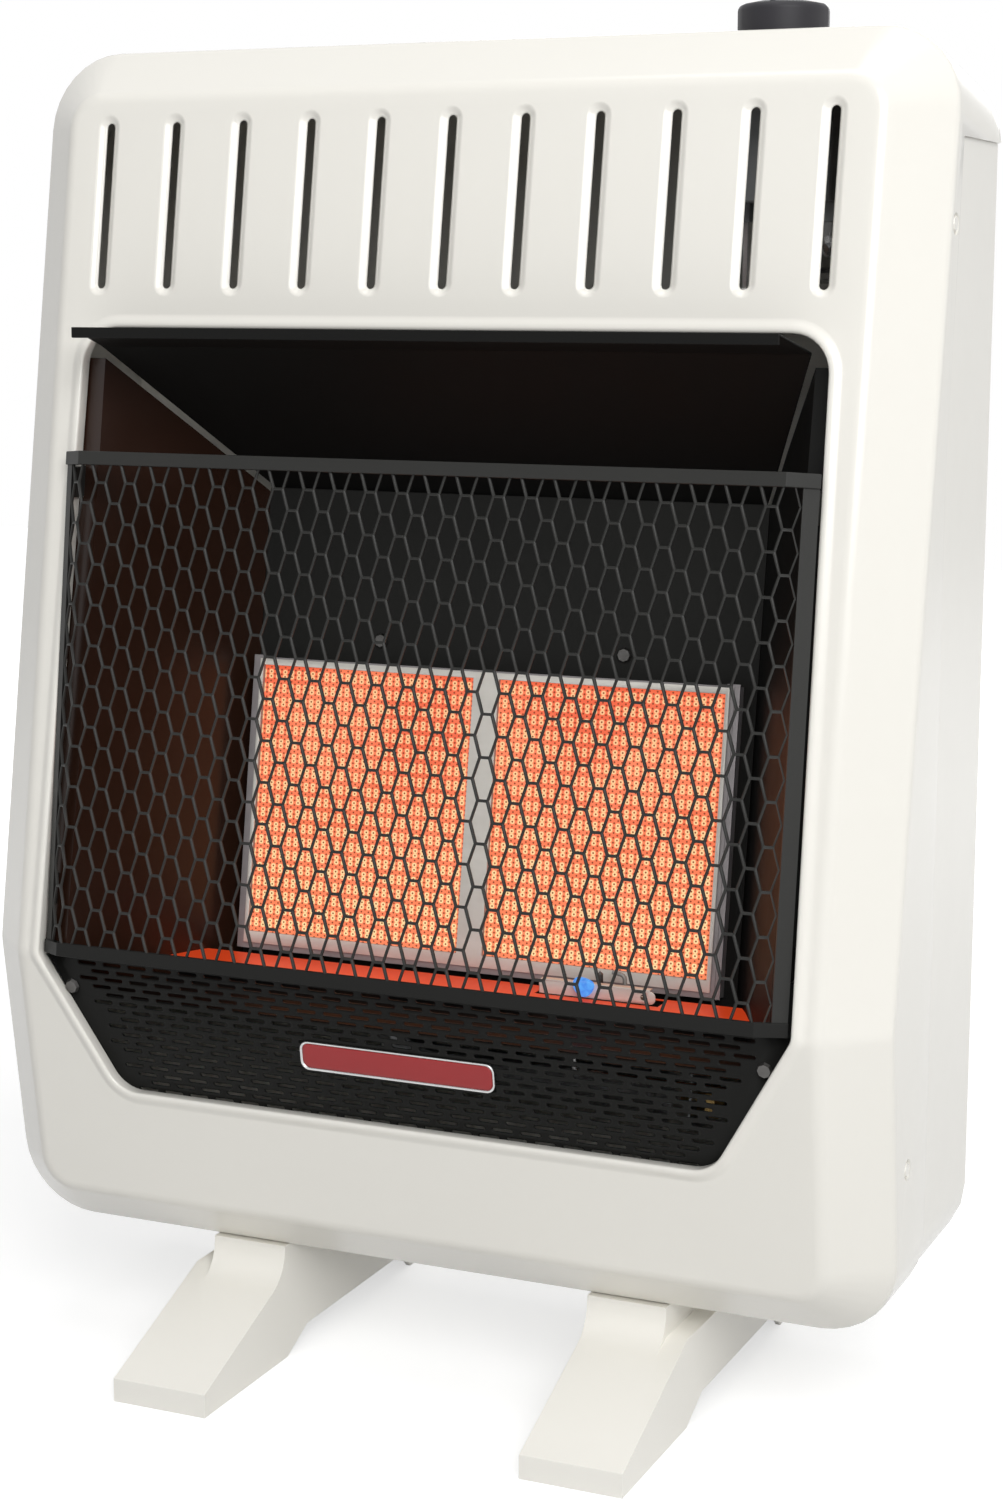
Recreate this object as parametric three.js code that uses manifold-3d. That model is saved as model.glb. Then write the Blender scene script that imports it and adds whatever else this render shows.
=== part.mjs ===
// Infrared plaque gas heater, a cabinet on two feet, in millimetres, +Z up.
// The front faces -Y. The origin is on the floor, under the middle of the feet.
// Depths are counted back from the crease of the front face, and rises up from it.

import * as THREE from "three";
import { mergeGeometries, mergeVertices } from "three/addons/utils/BufferGeometryUtils.js";
import Module from "manifold-3d";

const degrees = THREE.MathUtils.degToRad;

// Overall size and stance
const body_width = 476;
const body_height = 599;
const body_depth = 171;
const floor_gap = 60.5;
const crease_rise = 151.5;
const face_lean = degrees(9.5);
const face_rake = degrees(8);
const toe_reach = 40;

// Sheet metal and fits
const sheet = 1.2;
const fit = 0.3;
const overrun = 4;
const screw_radius = 2;
const screw_head_radius = 4;
const screw_head_height = 1.6;
const screw_length = 9;

// Front shell
const bevel_side = 28;
const bevel_end = 23.4;
const bevel_depth = 25;
const outer_corner = 38;
const face_corner = 16;
const seam_rise = 398;
const seam_bend_rise = 250;
const seam_top_depth = 103;
const seam_depth = 88;
const dimple_radius = 6;
const dimple_floor_radius = 4.6;
const dimple_press = 1.8;
const upper_dimple_rise = 359;
const upper_dimple_depth = 93;
const lower_dimple_drop = 71;
const lower_dimple_depth = 55;

// Opening in the front shell, with its rolled rim
const opening_top_margin = 44.4;
const opening_crease_margin = 40;
const opening_foot_margin = 80;
const opening_rise = 310.5;
const opening_drop = 69;
const opening_corner = 18;
const crease_corner = 8;
const rim_width = 6;
const rim_height = 1.7;
const rim_return = 5;

// Row of vertical slots over the opening, with pressed-in edges
const slot_pitch = 37.6;
const slot_row_margin = 12;
const slot_width = 4.4;
const slot_length = 82;
const slot_start = 334.6;
const slot_rim = 3.2;
const slot_press = 2;

// Back casing
const casing_tuck = 8;
const casing_tongue = 10;
const casing_top_flange = 14;
const vent_count = 7;
const vent_pitch = 42;
const vent_width = 7;
const vent_length = 46;
const vent_rise = 340;
const lower_vent_rise = 30;
const keyhole_spacing = 300;
const keyhole_rise = 270;
const keyhole_radius = 6;
const keyhole_neck = 5;
const keyhole_length = 16;

// Firebox
const firebox_inset = 7.5;
const firebox_depth = 157;
const firebox_flange = 15;
const floor_drop = 20;
const hood_gap = 2;

// Burner panel and deflector hood
const burner_lean = degrees(9);
const burner_depth = 86;
const burner_drop = 9;
const panel_half = 137.8;
const panel_setback = 14.6;
const panel_height = 241;
const panel_return_drop = 24;
const hood_sheet = 1;
const hood_bend_inset = 1;
const hood_bend_depth = 51;
const hood_bend_rise = 301.5;
const hood_lip_inset = 5.4;
const hood_lip_depth = 18.7;
const hood_lip_rise = 310;
const hood_hem = 4;
const hood_tail = 9;

// Burner: frame, box, plaques and gaskets
const burner_half = 131;
const burner_height = 152;
const frame_border = 4;
const frame_foot = 9;
const frame_divider = 14;
const notch_width = 42;
const notch_gap = 8;
const frame_sheet = 1;
const box_depth = 45;
const box_wall = 1;
const plaque_lap = 1.4;
const plaque_thickness = 13;
const plaque_edge = 1;
const gasket_width = 1;
const gasket_thickness = 9;
const panel_screw_spacing = 135;
const panel_screw_rise = 164;

// Mixer tube and injector
const mixer_radius = 12;
const mixer_wall = 1.2;
const mixer_bell_radius = 17;
const mixer_bell_length = 14;
const mixer_throat_radius = 8.5;
const mixer_length = 150;
const mixer_drop = 54;
const mixer_setback = 30;
const mixer_riser_x = -52;
const injector_radius = 6;
const injector_length = 24;
const injector_nose = 7;
const injector_orifice = 1.2;
const injector_gap = 10;
const injector_hexagon_share = 1.4;
const injector_hexagon_shares = [0.6, 0.8];
const injector_bracket_width = 28;

// Pilot assembly
const pilot_x = 62;
const pilot_depth = 70;
const pilot_plate_width = 56;
const pilot_plate_height = 13;
const pilot_tube_radius = 3.2;
const pilot_hood_radius = 4.2;
const pilot_height = 15;
const probe_radius = 1.6;
const probe_spacing = 13;
const electrode_radius = 1.1;
const electrode_sleeve = 2.4;

// Gas valve, stem, spring and knob
const knob_inset = 95;
const knob_depth = 130;
const knob_radius = 21.5;
const knob_top_rise = 463;
const knob_height = 26;
const knob_crown = 2;
const knob_edge = 3.4;
const knob_wall = 2;
const knob_hub_radius = 7;
const knob_hole_gap = 2;
const pointer_shares = [0.3, 0.78];
const knob_travel = 4;
const stem_radius = 4;
const stem_flat_share = 0.5;
const stem_bite = 10;
const valve_width = 62;
const valve_depth = 44;
const valve_height = 46;
const valve_drop = 41;
const valve_edge = 5;
const valve_neck_radius = 11;
const valve_neck_height = 5;
const valve_port_wall = 2.6;
const valve_port_length = 9;
const collar_radius = 7.5;
const collar_height = 2.4;
const spring_turns = 4;
const spring_wire = 0.7;
const spring_radius = 5.9;
const bracket_width = 84;
const bracket_drop = 30;

// Gas supply
const regulator_inset = 52;
const regulator_depth = 128;
const regulator_radius = 24;
const regulator_height = 34;
const regulator_cap_radius = 9;
const regulator_rise = 22;
const inlet_radius = 9;
const inlet_bore = 5;
const inlet_hexagon_share = 1.35;
const supply_tube_radius = 4.8;
const burner_tube_radius = 4;
const pilot_line_radius = 2;
const lead_radius = 1.6;
const tube_bend = 7;
const lead_bend = 4;
const riser_inset = 25;
const riser_spacing = 11;
const lane_step = 7;
const level_step = 8;
const line_gap = 2.4;
const lane_count = 3;
const regulator_port_length = 5;

// Guard
const guard_lean = degrees(7.5);
const guard_standoff = 6.6;
const guard_foot_rise = 2;
const guard_height = 251;
const guard_inset = 11;
const guard_sheet = 1.6;
const guard_wing_out = 13;
const guard_wing_back = 9;
const guard_wing_solid = 9;
const guard_rail_height = 6.6;
const guard_rail_skin = 0.8;
const guard_fold = 1.6;
const mesh_column_pitch = 17;
const mesh_row_pitch = 41;
const mesh_bond = 9;
const mesh_strand = 2.2;
const tab_height = 15;
const tab_width = 1.6;
const tab_depth = 18;
const tab_inset = 0.4;
const tab_clearance = 0.5;
const upper_tab_rise = 228;
const lower_tab_rise = 24;

// Lower slotted panel
const louver_lap = 8;
const louver_flange = 14;
const louver_slot_length = 25;
const louver_slot_height = 2.8;
const louver_pitch = 37;
const louver_row_pitch = 8.6;
const louver_margin = 9;
const louver_screw_inset = 4.6;
const louver_screw_drop = 17;

// Feet
const foot_length = 262;
const foot_centre = 109.3;
const foot_width = 51.6;
const foot_neck_width = 41;
const foot_wall = 2.6;
const toe_height = 12;
const instep_length = 82.6;
const instep_height = 45;
const toe_contact = 84;
const heel_contact = 34;
const arch_height = 10.5;
const arch_ramp = 22;
const heel_ramp = 12;
const foot_edge = 3;
const foot_blend = 20;
const foot_rib = 2.6;
const foot_boss_radius = 6;
const foot_screw_spacing = 56;

// Facets of round shapes
const corner_steps = 5;
const bead_steps = 4;
const opening_steps = 4;
const slot_end_steps = 3;
const round_steps = 16;
const small_round_steps = 8;
const bend_steps = 3;
const tube_sides = 8;
const lead_sides = 6;
const spring_sides = 5;
const spring_steps = 8;

// Places worked out from the sizes above
const body_half = body_width / 2;
const opening_top_half = body_half - opening_top_margin;
const opening_crease_half = body_half - opening_crease_margin;
const opening_foot_half = body_half - opening_foot_margin;
const firebox_half = opening_top_half - firebox_inset;
const firebox_rear_half = panel_half + fit;
const hood_bend_half = firebox_half - hood_bend_inset;
const hood_lip_half = firebox_half - hood_lip_inset;
const guard_half = opening_top_half - guard_inset;
const slots_each_side = Math.floor((body_half - bevel_side - slot_row_margin) / slot_pitch);
const knob_x = body_half - knob_inset;
const regulator_x = body_half - regulator_inset;
const riser_x = body_half - riser_inset;
const crease_y = toe_reach - foot_length / 2;
const crease_z = floor_gap + crease_rise;
const top_z = floor_gap + body_height;
const back_y = crease_y + body_depth;
const knob_y = crease_y + knob_depth;
const guard_wing_half = guard_half + guard_wing_out;
const louver_setback = rim_return + fit;
const louver_low = -opening_drop / Math.cos(face_rake) - louver_lap;
const frame_skirt = panel_setback - fit;

// The front face: leaning back above the crease, raking back below it
function faceY(z) {
  const slope = z >= crease_z ? Math.tan(face_lean) : -Math.tan(face_rake);
  return crease_y + (z - crease_z) * slope;
}

const wasm = await Module();
wasm.setup();

// A closed geometry as a solid that can be joined and cut
function solid(geometry) {
  const bare = geometry.clone();
  bare.deleteAttribute("normal");
  bare.deleteAttribute("uv");
  const merged = mergeVertices(bare);
  return new wasm.Manifold(
    new wasm.Mesh({
      numProp: 3,
      vertProperties: merged.attributes.position.array,
      triVerts: new Uint32Array(merged.index.array),
    }),
  );
}

// A solid back as a geometry
function geometryOf(body) {
  const mesh = body.getMesh();
  const geometry = new THREE.BufferGeometry();
  geometry.setAttribute("position", new THREE.BufferAttribute(mesh.vertProperties, mesh.numProp));
  geometry.setIndex(new THREE.BufferAttribute(mesh.triVerts, 1));
  return geometry;
}

const joined = (bodies) => bodies.reduce((sum, body) => sum.add(body));
const cutBy = (body, cutters) => cutters.reduce((rest, cutter) => rest.subtract(cutter), body);

// A box between two corners
function block(x0, x1, y0, y1, z0, z1) {
  const geometry = new THREE.BoxGeometry(x1 - x0, y1 - y0, z1 - z0);
  return solid(geometry.translate((x0 + x1) / 2, (y0 + y1) / 2, (z0 + z1) / 2));
}

const shapeOf = (points) => new THREE.Shape(points.map(([u, v]) => new THREE.Vector2(u, v)));

// An outline in X and Y carried up from z0 to z1, with optional holes right through
function prismZ(points, z0, z1, holes = []) {
  const carried = (outline, low, high) => {
    const prism = new THREE.ExtrudeGeometry(shapeOf(outline), { depth: high - low, bevelEnabled: false });
    return prism.translate(0, 0, low);
  };
  if (!holes.length) return carried(points, z0, z1);
  const cutters = mergeGeometries(holes.map((hole) => carried(hole, z0 - overrun, z1 + overrun)));
  return geometryOf(solid(carried(points, z0, z1)).subtract(solid(cutters)));
}

// An outline in X and Z carried back from y0 to y1
function prismY(points, y0, y1, holes = []) {
  return prismZ(points, 0, y1 - y0, holes).rotateX(Math.PI / 2).translate(0, y1, 0);
}

// An outline in Y and Z carried across from x0 to x1
function prismX(points, x0, x1, holes = []) {
  const turned = prismZ(points, 0, x1 - x0, holes).rotateZ(Math.PI / 2).rotateY(Math.PI / 2);
  return turned.translate(x0, 0, 0);
}

// A profile of radius and height turned about Z
function turned(profile, steps = round_steps) {
  const points = profile.map(([r, z]) => new THREE.Vector2(r, z));
  return new THREE.LatheGeometry(points, steps).rotateX(Math.PI / 2);
}

// A plain round bar along Z
function rod(radius, z0, z1, steps = small_round_steps) {
  const geometry = new THREE.CylinderGeometry(radius, radius, z1 - z0, steps);
  return geometry.rotateX(Math.PI / 2).translate(0, 0, (z0 + z1) / 2);
}

// A polygon whose corners [x, y, radius] are rounded by arcs
function rounded(corners, steps = corner_steps) {
  const points = [];
  corners.forEach(([x, y, radius], i) => {
    const corner = new THREE.Vector2(x, y);
    const before = new THREE.Vector2(...corners.at(i - 1).slice(0, 2)).sub(corner).normalize();
    const after = new THREE.Vector2(...corners[(i + 1) % corners.length].slice(0, 2));
    after.sub(corner).normalize();
    if (!radius) {
      points.push([x, y]);
      return;
    }
    const half = Math.acos(THREE.MathUtils.clamp(before.dot(after), -1, 1)) / 2;
    const middle = before.clone().add(after).normalize();
    const centre = corner.clone().addScaledVector(middle, radius / Math.sin(half));
    const first = corner.clone().addScaledVector(before, radius / Math.tan(half)).sub(centre);
    const last = corner.clone().addScaledVector(after, radius / Math.tan(half)).sub(centre);
    const sweep = Math.atan2(first.cross(last), first.dot(last));
    for (let k = 0; k <= steps; k++) {
      const spoke = first.clone().rotateAround(new THREE.Vector2(), (sweep * k) / steps);
      points.push([centre.x + spoke.x, centre.y + spoke.y]);
    }
  });
  return points;
}

// A slot outline with round ends, standing up along v
function stadium(width, length, u = 0, v = 0, steps = corner_steps) {
  const half = width / 2;
  const run = length / 2 - half;
  const points = [];
  for (let k = 0; k <= 2 * steps + 1; k++) {
    const upper = k <= steps;
    const angle = (Math.PI * (upper ? k : k - 1)) / steps;
    points.push([u + half * Math.cos(angle), v + half * Math.sin(angle) + (upper ? run : -run)]);
  }
  return points;
}

const circle = (radius, u = 0, v = 0, steps = small_round_steps) =>
  Array.from({ length: steps }, (_, k) => {
    const angle = (2 * Math.PI * k) / steps;
    return [u + radius * Math.cos(angle), v + radius * Math.sin(angle)];
  });

const rectangle = (u0, u1, v0, v1) => [
  [u0, v0],
  [u1, v0],
  [u1, v1],
  [u0, v1],
];

// Skin over rings of equally many points that run anticlockwise seen from the front.
// fold is the point, counted from the first, where the end faces are creased.
function loft(rings, fold = 0) {
  const count = rings[0].length;
  const corners = rings.flat().map((p) => [p.x, p.y, p.z]);
  const index = [];
  const fan = (ring, from, to, flip) => {
    for (let k = from + 1; k < to; k++) {
      const [a, b, c] = [from, k, (k + 1) % count].map((i) => ring * count + i);
      index.push(...(flip ? [a, c, b] : [a, b, c]));
    }
  };
  for (let r = 0; r + 1 < rings.length; r++) {
    for (let k = 0; k < count; k++) {
      const [a, b] = [r * count + k, r * count + ((k + 1) % count)];
      index.push(a, b + count, b, a, a + count, b + count);
    }
  }
  for (const [ring, flip] of [[0, false], [rings.length - 1, true]]) {
    fan(ring, 0, fold || count - 1, flip);
    if (fold) fan(ring, fold, count, flip);
  }
  const geometry = new THREE.BufferGeometry();
  geometry.setAttribute("position", new THREE.Float32BufferAttribute(corners.flat(), 3));
  geometry.setIndex(index);
  return geometry;
}

// Skin round a closed section that follows a closed loop: rings[i][k] is point k of section i
function hoop(rings) {
  const count = rings[0].length;
  const index = [];
  rings.forEach((_, r) => {
    const next = ((r + 1) % rings.length) * count;
    for (let k = 0; k < count; k++) {
      const [a, b] = [r * count + k, r * count + ((k + 1) % count)];
      const [c, d] = [next + k, next + ((k + 1) % count)];
      index.push(a, b, d, a, d, c);
    }
  });
  const corners = rings.flat().flatMap((p) => [p.x, p.y, p.z]);
  const geometry = new THREE.BufferGeometry();
  geometry.setAttribute("position", new THREE.Float32BufferAttribute(corners, 3));
  geometry.setIndex(index);
  return geometry;
}

// A line through corner points with rounded bends, which has stations only where it turns
class BentPath extends THREE.Curve {
  constructor(points, bend) {
    super();
    const stops = points.map((p) => new THREE.Vector3(...p));
    this.stations = stops.flatMap((corner, i) => {
      if (i === 0 || i === stops.length - 1) return [corner];
      const start = stops[i - 1].clone().sub(corner).setLength(bend).add(corner);
      const end = stops[i + 1].clone().sub(corner).setLength(bend).add(corner);
      return new THREE.QuadraticBezierCurve3(start, corner, end).getPoints(bend_steps);
    });
  }

  station(u) {
    return Math.round(u * (this.stations.length - 1));
  }

  getPointAt(u, target = new THREE.Vector3()) {
    return target.copy(this.stations[this.station(u)]);
  }

  getTangentAt(u, target = new THREE.Vector3()) {
    const k = this.station(u);
    const here = this.stations[k];
    const before = this.stations[Math.max(k - 1, 0)];
    const after = this.stations[Math.min(k + 1, this.stations.length - 1)];
    const into = here.clone().sub(before).normalize();
    const out = after.clone().sub(here).normalize();
    return target.addVectors(into, out).normalize();
  }
}

// A round tube through corner points, with each bend rounded
function pipe(points, radius, bend, sides = tube_sides) {
  const extrudePath = new BentPath(points, bend);
  const steps = extrudePath.stations.length - 1;
  const section = shapeOf(circle(radius, 0, 0, sides));
  return new THREE.ExtrudeGeometry(section, { steps, extrudePath, bevelEnabled: false });
}

// A line of points moved sideways by a distance, with mitred corners
function besideLine(points, distance) {
  const line = points.map(([u, v]) => new THREE.Vector2(u, v));
  return line.map((p, i) => {
    const into = i ? p.clone().sub(line[i - 1]) : line[1].clone().sub(p);
    const out = i + 1 < line.length ? line[i + 1].clone().sub(p) : into.clone();
    const [a, b] = [into, out].map((run) => new THREE.Vector2(-run.y, run.x).normalize());
    const middle = a.clone().add(b).normalize();
    return [p.x + (middle.x * distance) / middle.dot(a), p.y + (middle.y * distance) / middle.dot(a)];
  });
}

// Outline of the cabinet: right end of the crease, over the top, left end, round the bottom
function cabinetOutline(half, low, high, radius) {
  const upper = [
    [half, crease_z, 0],
    [half, high, radius],
    [-half, high, radius],
    [-half, crease_z, 0],
    [-half, low, radius],
    [half, low, radius],
  ];
  return rounded(upper);
}

const cabinet_fold = 2 * (corner_steps + 1) + 1;

// The cabinet's form, drawn in by inset on every face, back to rear_y
function cabinetForm(inset, rear_y) {
  const slope = Math.atan2(bevel_depth, bevel_side);
  const face_inset = inset * Math.tan(slope / 2);
  const edge_inset = inset * Math.tan((Math.PI / 2 - slope) / 2);
  const face = cabinetOutline(
    body_half - bevel_side - face_inset,
    floor_gap + bevel_end + face_inset,
    top_z - bevel_end - face_inset,
    face_corner - face_inset,
  );
  const edge = cabinetOutline(
    body_half - inset,
    floor_gap + inset,
    top_z - inset,
    outer_corner - inset,
  );
  const face_ring = face.map(([x, z]) => new THREE.Vector3(x, faceY(z) + inset / Math.cos(face_lean), z));
  const edge_ring = edge.map(([x, z]) => new THREE.Vector3(x, faceY(z) + bevel_depth + edge_inset, z));
  const rear_ring = edge_ring.map((p) => {
    const falls = p.z > crease_z + outer_corner;
    return new THREE.Vector3(p.x, rear_y, p.z - (falls ? (rear_y - p.y) * Math.tan(face_lean) : 0));
  });
  return loft([face_ring, edge_ring, rear_ring], cabinet_fold);
}

// Outline of the opening, in X and Z
function openingOutline() {
  const corners = [
    [opening_crease_half, crease_z, crease_corner],
    [opening_top_half, crease_z + opening_rise, opening_corner],
    [-opening_top_half, crease_z + opening_rise, opening_corner],
    [-opening_crease_half, crease_z, crease_corner],
    [-opening_foot_half, crease_z - opening_drop, opening_corner],
    [opening_foot_half, crease_z - opening_drop, opening_corner],
  ];
  return rounded(corners, opening_steps);
}

// Rolled rim: a low round bead that turns back through the opening
function openingRim() {
  const outline = openingOutline();
  const bead = Array.from({ length: bead_steps }, (_, k) => {
    const angle = (Math.PI * (k + 1)) / (bead_steps + 1);
    return [(rim_width * (1 - Math.cos(angle))) / 2, rim_height * Math.sin(angle)];
  });
  const section = [
    [0, -rim_return],
    ...bead,
    [rim_width, -sheet / 2],
    [sheet, -sheet / 2],
    [sheet, -rim_return],
  ];
  const rings = outline.map(([x, z], i) => {
    const [bx, bz] = outline.at(i - 1);
    const [ax, az] = outline[(i + 1) % outline.length];
    const out = new THREE.Vector2(az - bz, bx - ax).normalize();
    return section.map(([reach, height]) => {
      const [px, pz] = [x + out.x * reach, z + out.y * reach];
      return new THREE.Vector3(px, faceY(pz) - height, pz);
    });
  });
  return hoop(rings);
}

// Turns a geometry drawn against the upright X-Z plane onto the leaning face
function onFace(geometry, lean = face_lean) {
  return geometry.rotateX(-lean).translate(0, crease_y, crease_z);
}

// One slot of the row: the pressed-in lip that is added, and the cut through it
function slotLip(x) {
  const middle = slot_start + slot_length / 2;
  const grown = (by, y) =>
    stadium(slot_width + 2 * by, slot_length + 2 * by, x, middle, slot_end_steps).map(
      ([u, v]) => new THREE.Vector3(u, y, v),
    );
  const lip = [grown(slot_rim + sheet, sheet / 2), grown(sheet, slot_press + sheet)];
  const cut = [
    grown(slot_rim + overrun, -overrun),
    grown(slot_rim, 0),
    grown(0, slot_press),
    grown(0, slot_press + sheet + overrun),
  ];
  return { lip: solid(onFace(loft(lip))), cut: solid(onFace(loft(cut))) };
}

// Places of the side screws: depth and rise from the crease
const side_screws = [
  { end: "upper", depth: upper_dimple_depth, rise: upper_dimple_rise },
  { end: "lower", depth: lower_dimple_depth, rise: -lower_dimple_drop },
];
const sides = [1, -1];
const sideName = (side) => (side > 0 ? "right" : "left");

// A geometry drawn on +Z at the origin, stood on the cabinet's side so that +Z points out of it
function onSide(geometry, side, depth, rise) {
  return geometry
    .rotateY((side * Math.PI) / 2)
    .translate(side * body_half, crease_y + depth, crease_z + rise);
}

// A dimple pressed into the side for a screw, in a sheet that lies inset from the outside
function sideDimple(side, { depth, rise }, inset = 0, wider = 0) {
  const floor_radius = dimple_floor_radius + wider;
  const radius = dimple_radius + wider;
  const lip = turned(
    [
      [0, -dimple_press - sheet],
      [floor_radius + sheet / 2, -dimple_press - sheet],
      [radius + sheet, -sheet / 2],
      [0, -sheet / 2],
    ],
    small_round_steps,
  );
  const cut = turned(
    [
      [0, -dimple_press],
      [floor_radius, -dimple_press],
      [radius, 0],
      [radius, overrun],
      [0, overrun],
    ],
    small_round_steps,
  );
  const hole = rod(screw_radius + fit, -dimple_press - sheet - overrun, 0);
  const place = (geometry) => solid(onSide(geometry.translate(0, 0, -inset), side, depth, rise));
  return { lip: place(lip), cut: place(cut).add(place(hole)) };
}

// Side view of the joint between the shell and the casing, moved forward by tuck
function seamLine(tuck) {
  return [
    [crease_y + seam_depth - tuck, floor_gap - overrun],
    [crease_y + seam_depth - tuck, crease_z + seam_bend_rise],
    [crease_y + seam_top_depth - tuck, crease_z + seam_rise],
  ];
}

function frontShell() {
  const reach = body_half + overrun;
  const skin = solid(cabinetForm(0, back_y)).subtract(solid(cabinetForm(sheet, back_y + overrun)));
  const behind_seam = [
    ...seamLine(0),
    [back_y + overrun, crease_z + seam_rise],
    [back_y + overrun, floor_gap - overrun],
  ];
  const opening = prismY(openingOutline(), crease_y - overrun, back_y);
  const knob_hole = prismZ(
    circle(knob_radius + knob_hole_gap, knob_x, knob_y, round_steps),
    crease_z + seam_rise,
    top_z + overrun,
  );
  let shell = cutBy(skin, [solid(prismX(behind_seam, -reach, reach)), solid(opening), solid(knob_hole)]);
  shell = shell.add(solid(openingRim()));
  for (let i = -slots_each_side; i <= slots_each_side; i++) {
    const { lip, cut } = slotLip(i * slot_pitch);
    shell = shell.add(lip).subtract(cut);
  }
  for (const side of sides) {
    for (const place of side_screws) {
      const { lip, cut } = sideDimple(side, place);
      shell = shell.add(lip).subtract(cut);
    }
    for (const rise of [lower_tab_rise, upper_tab_rise]) shell = shell.subtract(tabSlit(side, rise));
  }
  return cutBy(shell, footScrewHoles());
}

// Height of the lower edge of a tab that starts at a rise along the guard
function tabFoot(rise) {
  return crease_z + guard_foot_rise + rise * Math.cos(guard_lean) - guard_wing_back * Math.sin(guard_lean);
}

// The slit that takes one tab, in the shell's rim and in the firebox's flange
function tabSlit(side, rise) {
  const z = tabFoot(rise);
  const outer = guard_wing_half - tab_inset + tab_clearance;
  const inner = outer - tab_width - 2 * tab_clearance;
  const [x0, x1] = side > 0 ? [inner, outer] : [-outer, -inner];
  return block(x0, x1, crease_y - overrun, back_y, z - tab_clearance, z + tab_height + tab_clearance);
}

// Casing round the sides, bottom and back, tucked inside the front shell's edges
function backCasing() {
  const inset = sheet + fit;
  const reach = body_half + overrun;
  const flange_z = crease_z + seam_rise + casing_tuck;
  const skin = solid(cabinetForm(inset, back_y)).subtract(solid(cabinetForm(inset + sheet, back_y - sheet)));
  const before_edge = [
    [crease_y - overrun, floor_gap - overrun],
    ...seamLine(casing_tuck),
    [crease_y + seam_top_depth, flange_z],
    [back_y - casing_top_flange, flange_z],
    [back_y - casing_top_flange, top_z + overrun],
    [crease_y - overrun, top_z + overrun],
  ];
  const tongues = side_screws.map(({ depth, rise }) => {
    const [y, z] = [crease_y + depth, crease_z + rise];
    return block(-reach, reach, y - casing_tongue, y + seam_depth, z - casing_tongue, z + casing_tongue);
  });
  let casing = skin.subtract(cutBy(solid(prismX(before_edge, -reach, reach)), tongues));
  for (const side of sides) {
    for (const place of side_screws) {
      const { lip, cut } = sideDimple(side, place, inset, 3 * fit);
      casing = casing.add(lip).subtract(cut);
    }
  }
  const inlet = circle(inlet_radius + 2 * fit, regulator_x, regulator_y, round_steps);
  const inlet_hole = solid(prismZ(inlet, floor_gap, floor_gap + overrun));
  return cutBy(casing, [...backVents(), ...keyholes(), ...footScrewHoles(), inlet_hole]);
}

// Rows of upright vents across the back
function backVents() {
  const places = Array.from({ length: vent_count }, (_, i) => (i - (vent_count - 1) / 2) * vent_pitch);
  return [vent_rise, lower_vent_rise].flatMap((rise) =>
    places.map((x) => {
      const hole = stadium(vent_width, vent_length, x, crease_z + rise, slot_end_steps);
      return solid(prismY(hole, back_y - overrun, back_y + overrun));
    }),
  );
}

// Keyholes that hang the heater on two wall screws
function keyholes() {
  return sides.flatMap((side) => {
    const x = (side * keyhole_spacing) / 2;
    const z = crease_z + keyhole_rise;
    const neck = rectangle(x - keyhole_neck / 2, x + keyhole_neck / 2, z, z + keyhole_length);
    return [circle(keyhole_radius, x, z), neck].map((hole) =>
      solid(prismY(hole, back_y - overrun, back_y + overrun)),
    );
  });
}

// Holes for the foot screws through the cabinet's bottom
function footScrewHoles() {
  return sides.flatMap((side) =>
    footScrewYs().map((y) => {
      const hole = circle(screw_radius + fit, side * footScrewX(), y);
      return solid(prismZ(hole, floor_gap - overrun, floor_gap + overrun));
    }),
  );
}

// Pan-head screw whose head lies above z = 0 and whose shank goes down
function screw(length = screw_length) {
  return turned(
    [
      [0, -length],
      [screw_radius, -length],
      [screw_radius, 0],
      [screw_head_radius, 0],
      [screw_head_radius - screw_head_height / 2, screw_head_height],
      [0, screw_head_height],
    ],
    small_round_steps,
  );
}

// A side screw, its head in a dimple
function sideScrew(side, { depth, rise }) {
  return solid(onSide(screw().translate(0, 0, fit - dimple_press), side, depth, rise));
}

// Depth of the firebox's front edge behind the crease, at a rise from it: just behind the rim,
// and below the crease just behind the lower panel
const fireboxFront = (rise) => faceY(crease_z + rise) - crease_y + rim_return + fit;
const fireboxFoot = (rise) => fireboxFront(rise) + sheet + 2 * fit;

// Rise of the hood's slanted plate at a depth behind the crease
function hoodRise(depth) {
  const tail = panelTop();
  const share = (depth - hood_bend_depth) / (tail.depth - hood_bend_depth);
  return hood_bend_rise + (tail.rise - hood_bend_rise) * share;
}

// Top edge of the burner panel, as depth and rise from the crease
function panelTop() {
  const up = panel_height;
  return {
    depth: burner_depth + panel_setback * Math.cos(burner_lean) + up * Math.sin(burner_lean),
    rise: up * Math.cos(burner_lean) - burner_drop - panel_setback * Math.sin(burner_lean),
  };
}

// Depth behind the crease of the burner panel's front, at a rise from the crease
const panelDepth = (rise) =>
  burner_depth + panel_setback / Math.cos(burner_lean) + (rise + burner_drop) * Math.tan(burner_lean);

// Inner line of a side wall in plan, as half width and depth at a rise: it runs in from the flange to the
// burner panel's edge, and then straight back beside the panel
function fireboxPlan(rise) {
  const [front, bend] = [rise * Math.tan(face_lean) + rim_return + fit, panelDepth(rise)];
  const narrowing = (firebox_half - firebox_rear_half) / (bend - front);
  return [
    [firebox_half + narrowing * firebox_depth, front - firebox_depth],
    [firebox_rear_half, bend],
    [firebox_rear_half, firebox_depth + overrun],
  ];
}

// Half the width between the side walls at a depth in front of the burner panel and a rise
function fireboxWidthHalf(depth, rise) {
  const [[x0, y0], [x1, y1]] = fireboxPlan(rise);
  return x0 + ((x1 - x0) * (depth - y0)) / (y1 - y0);
}

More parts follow.
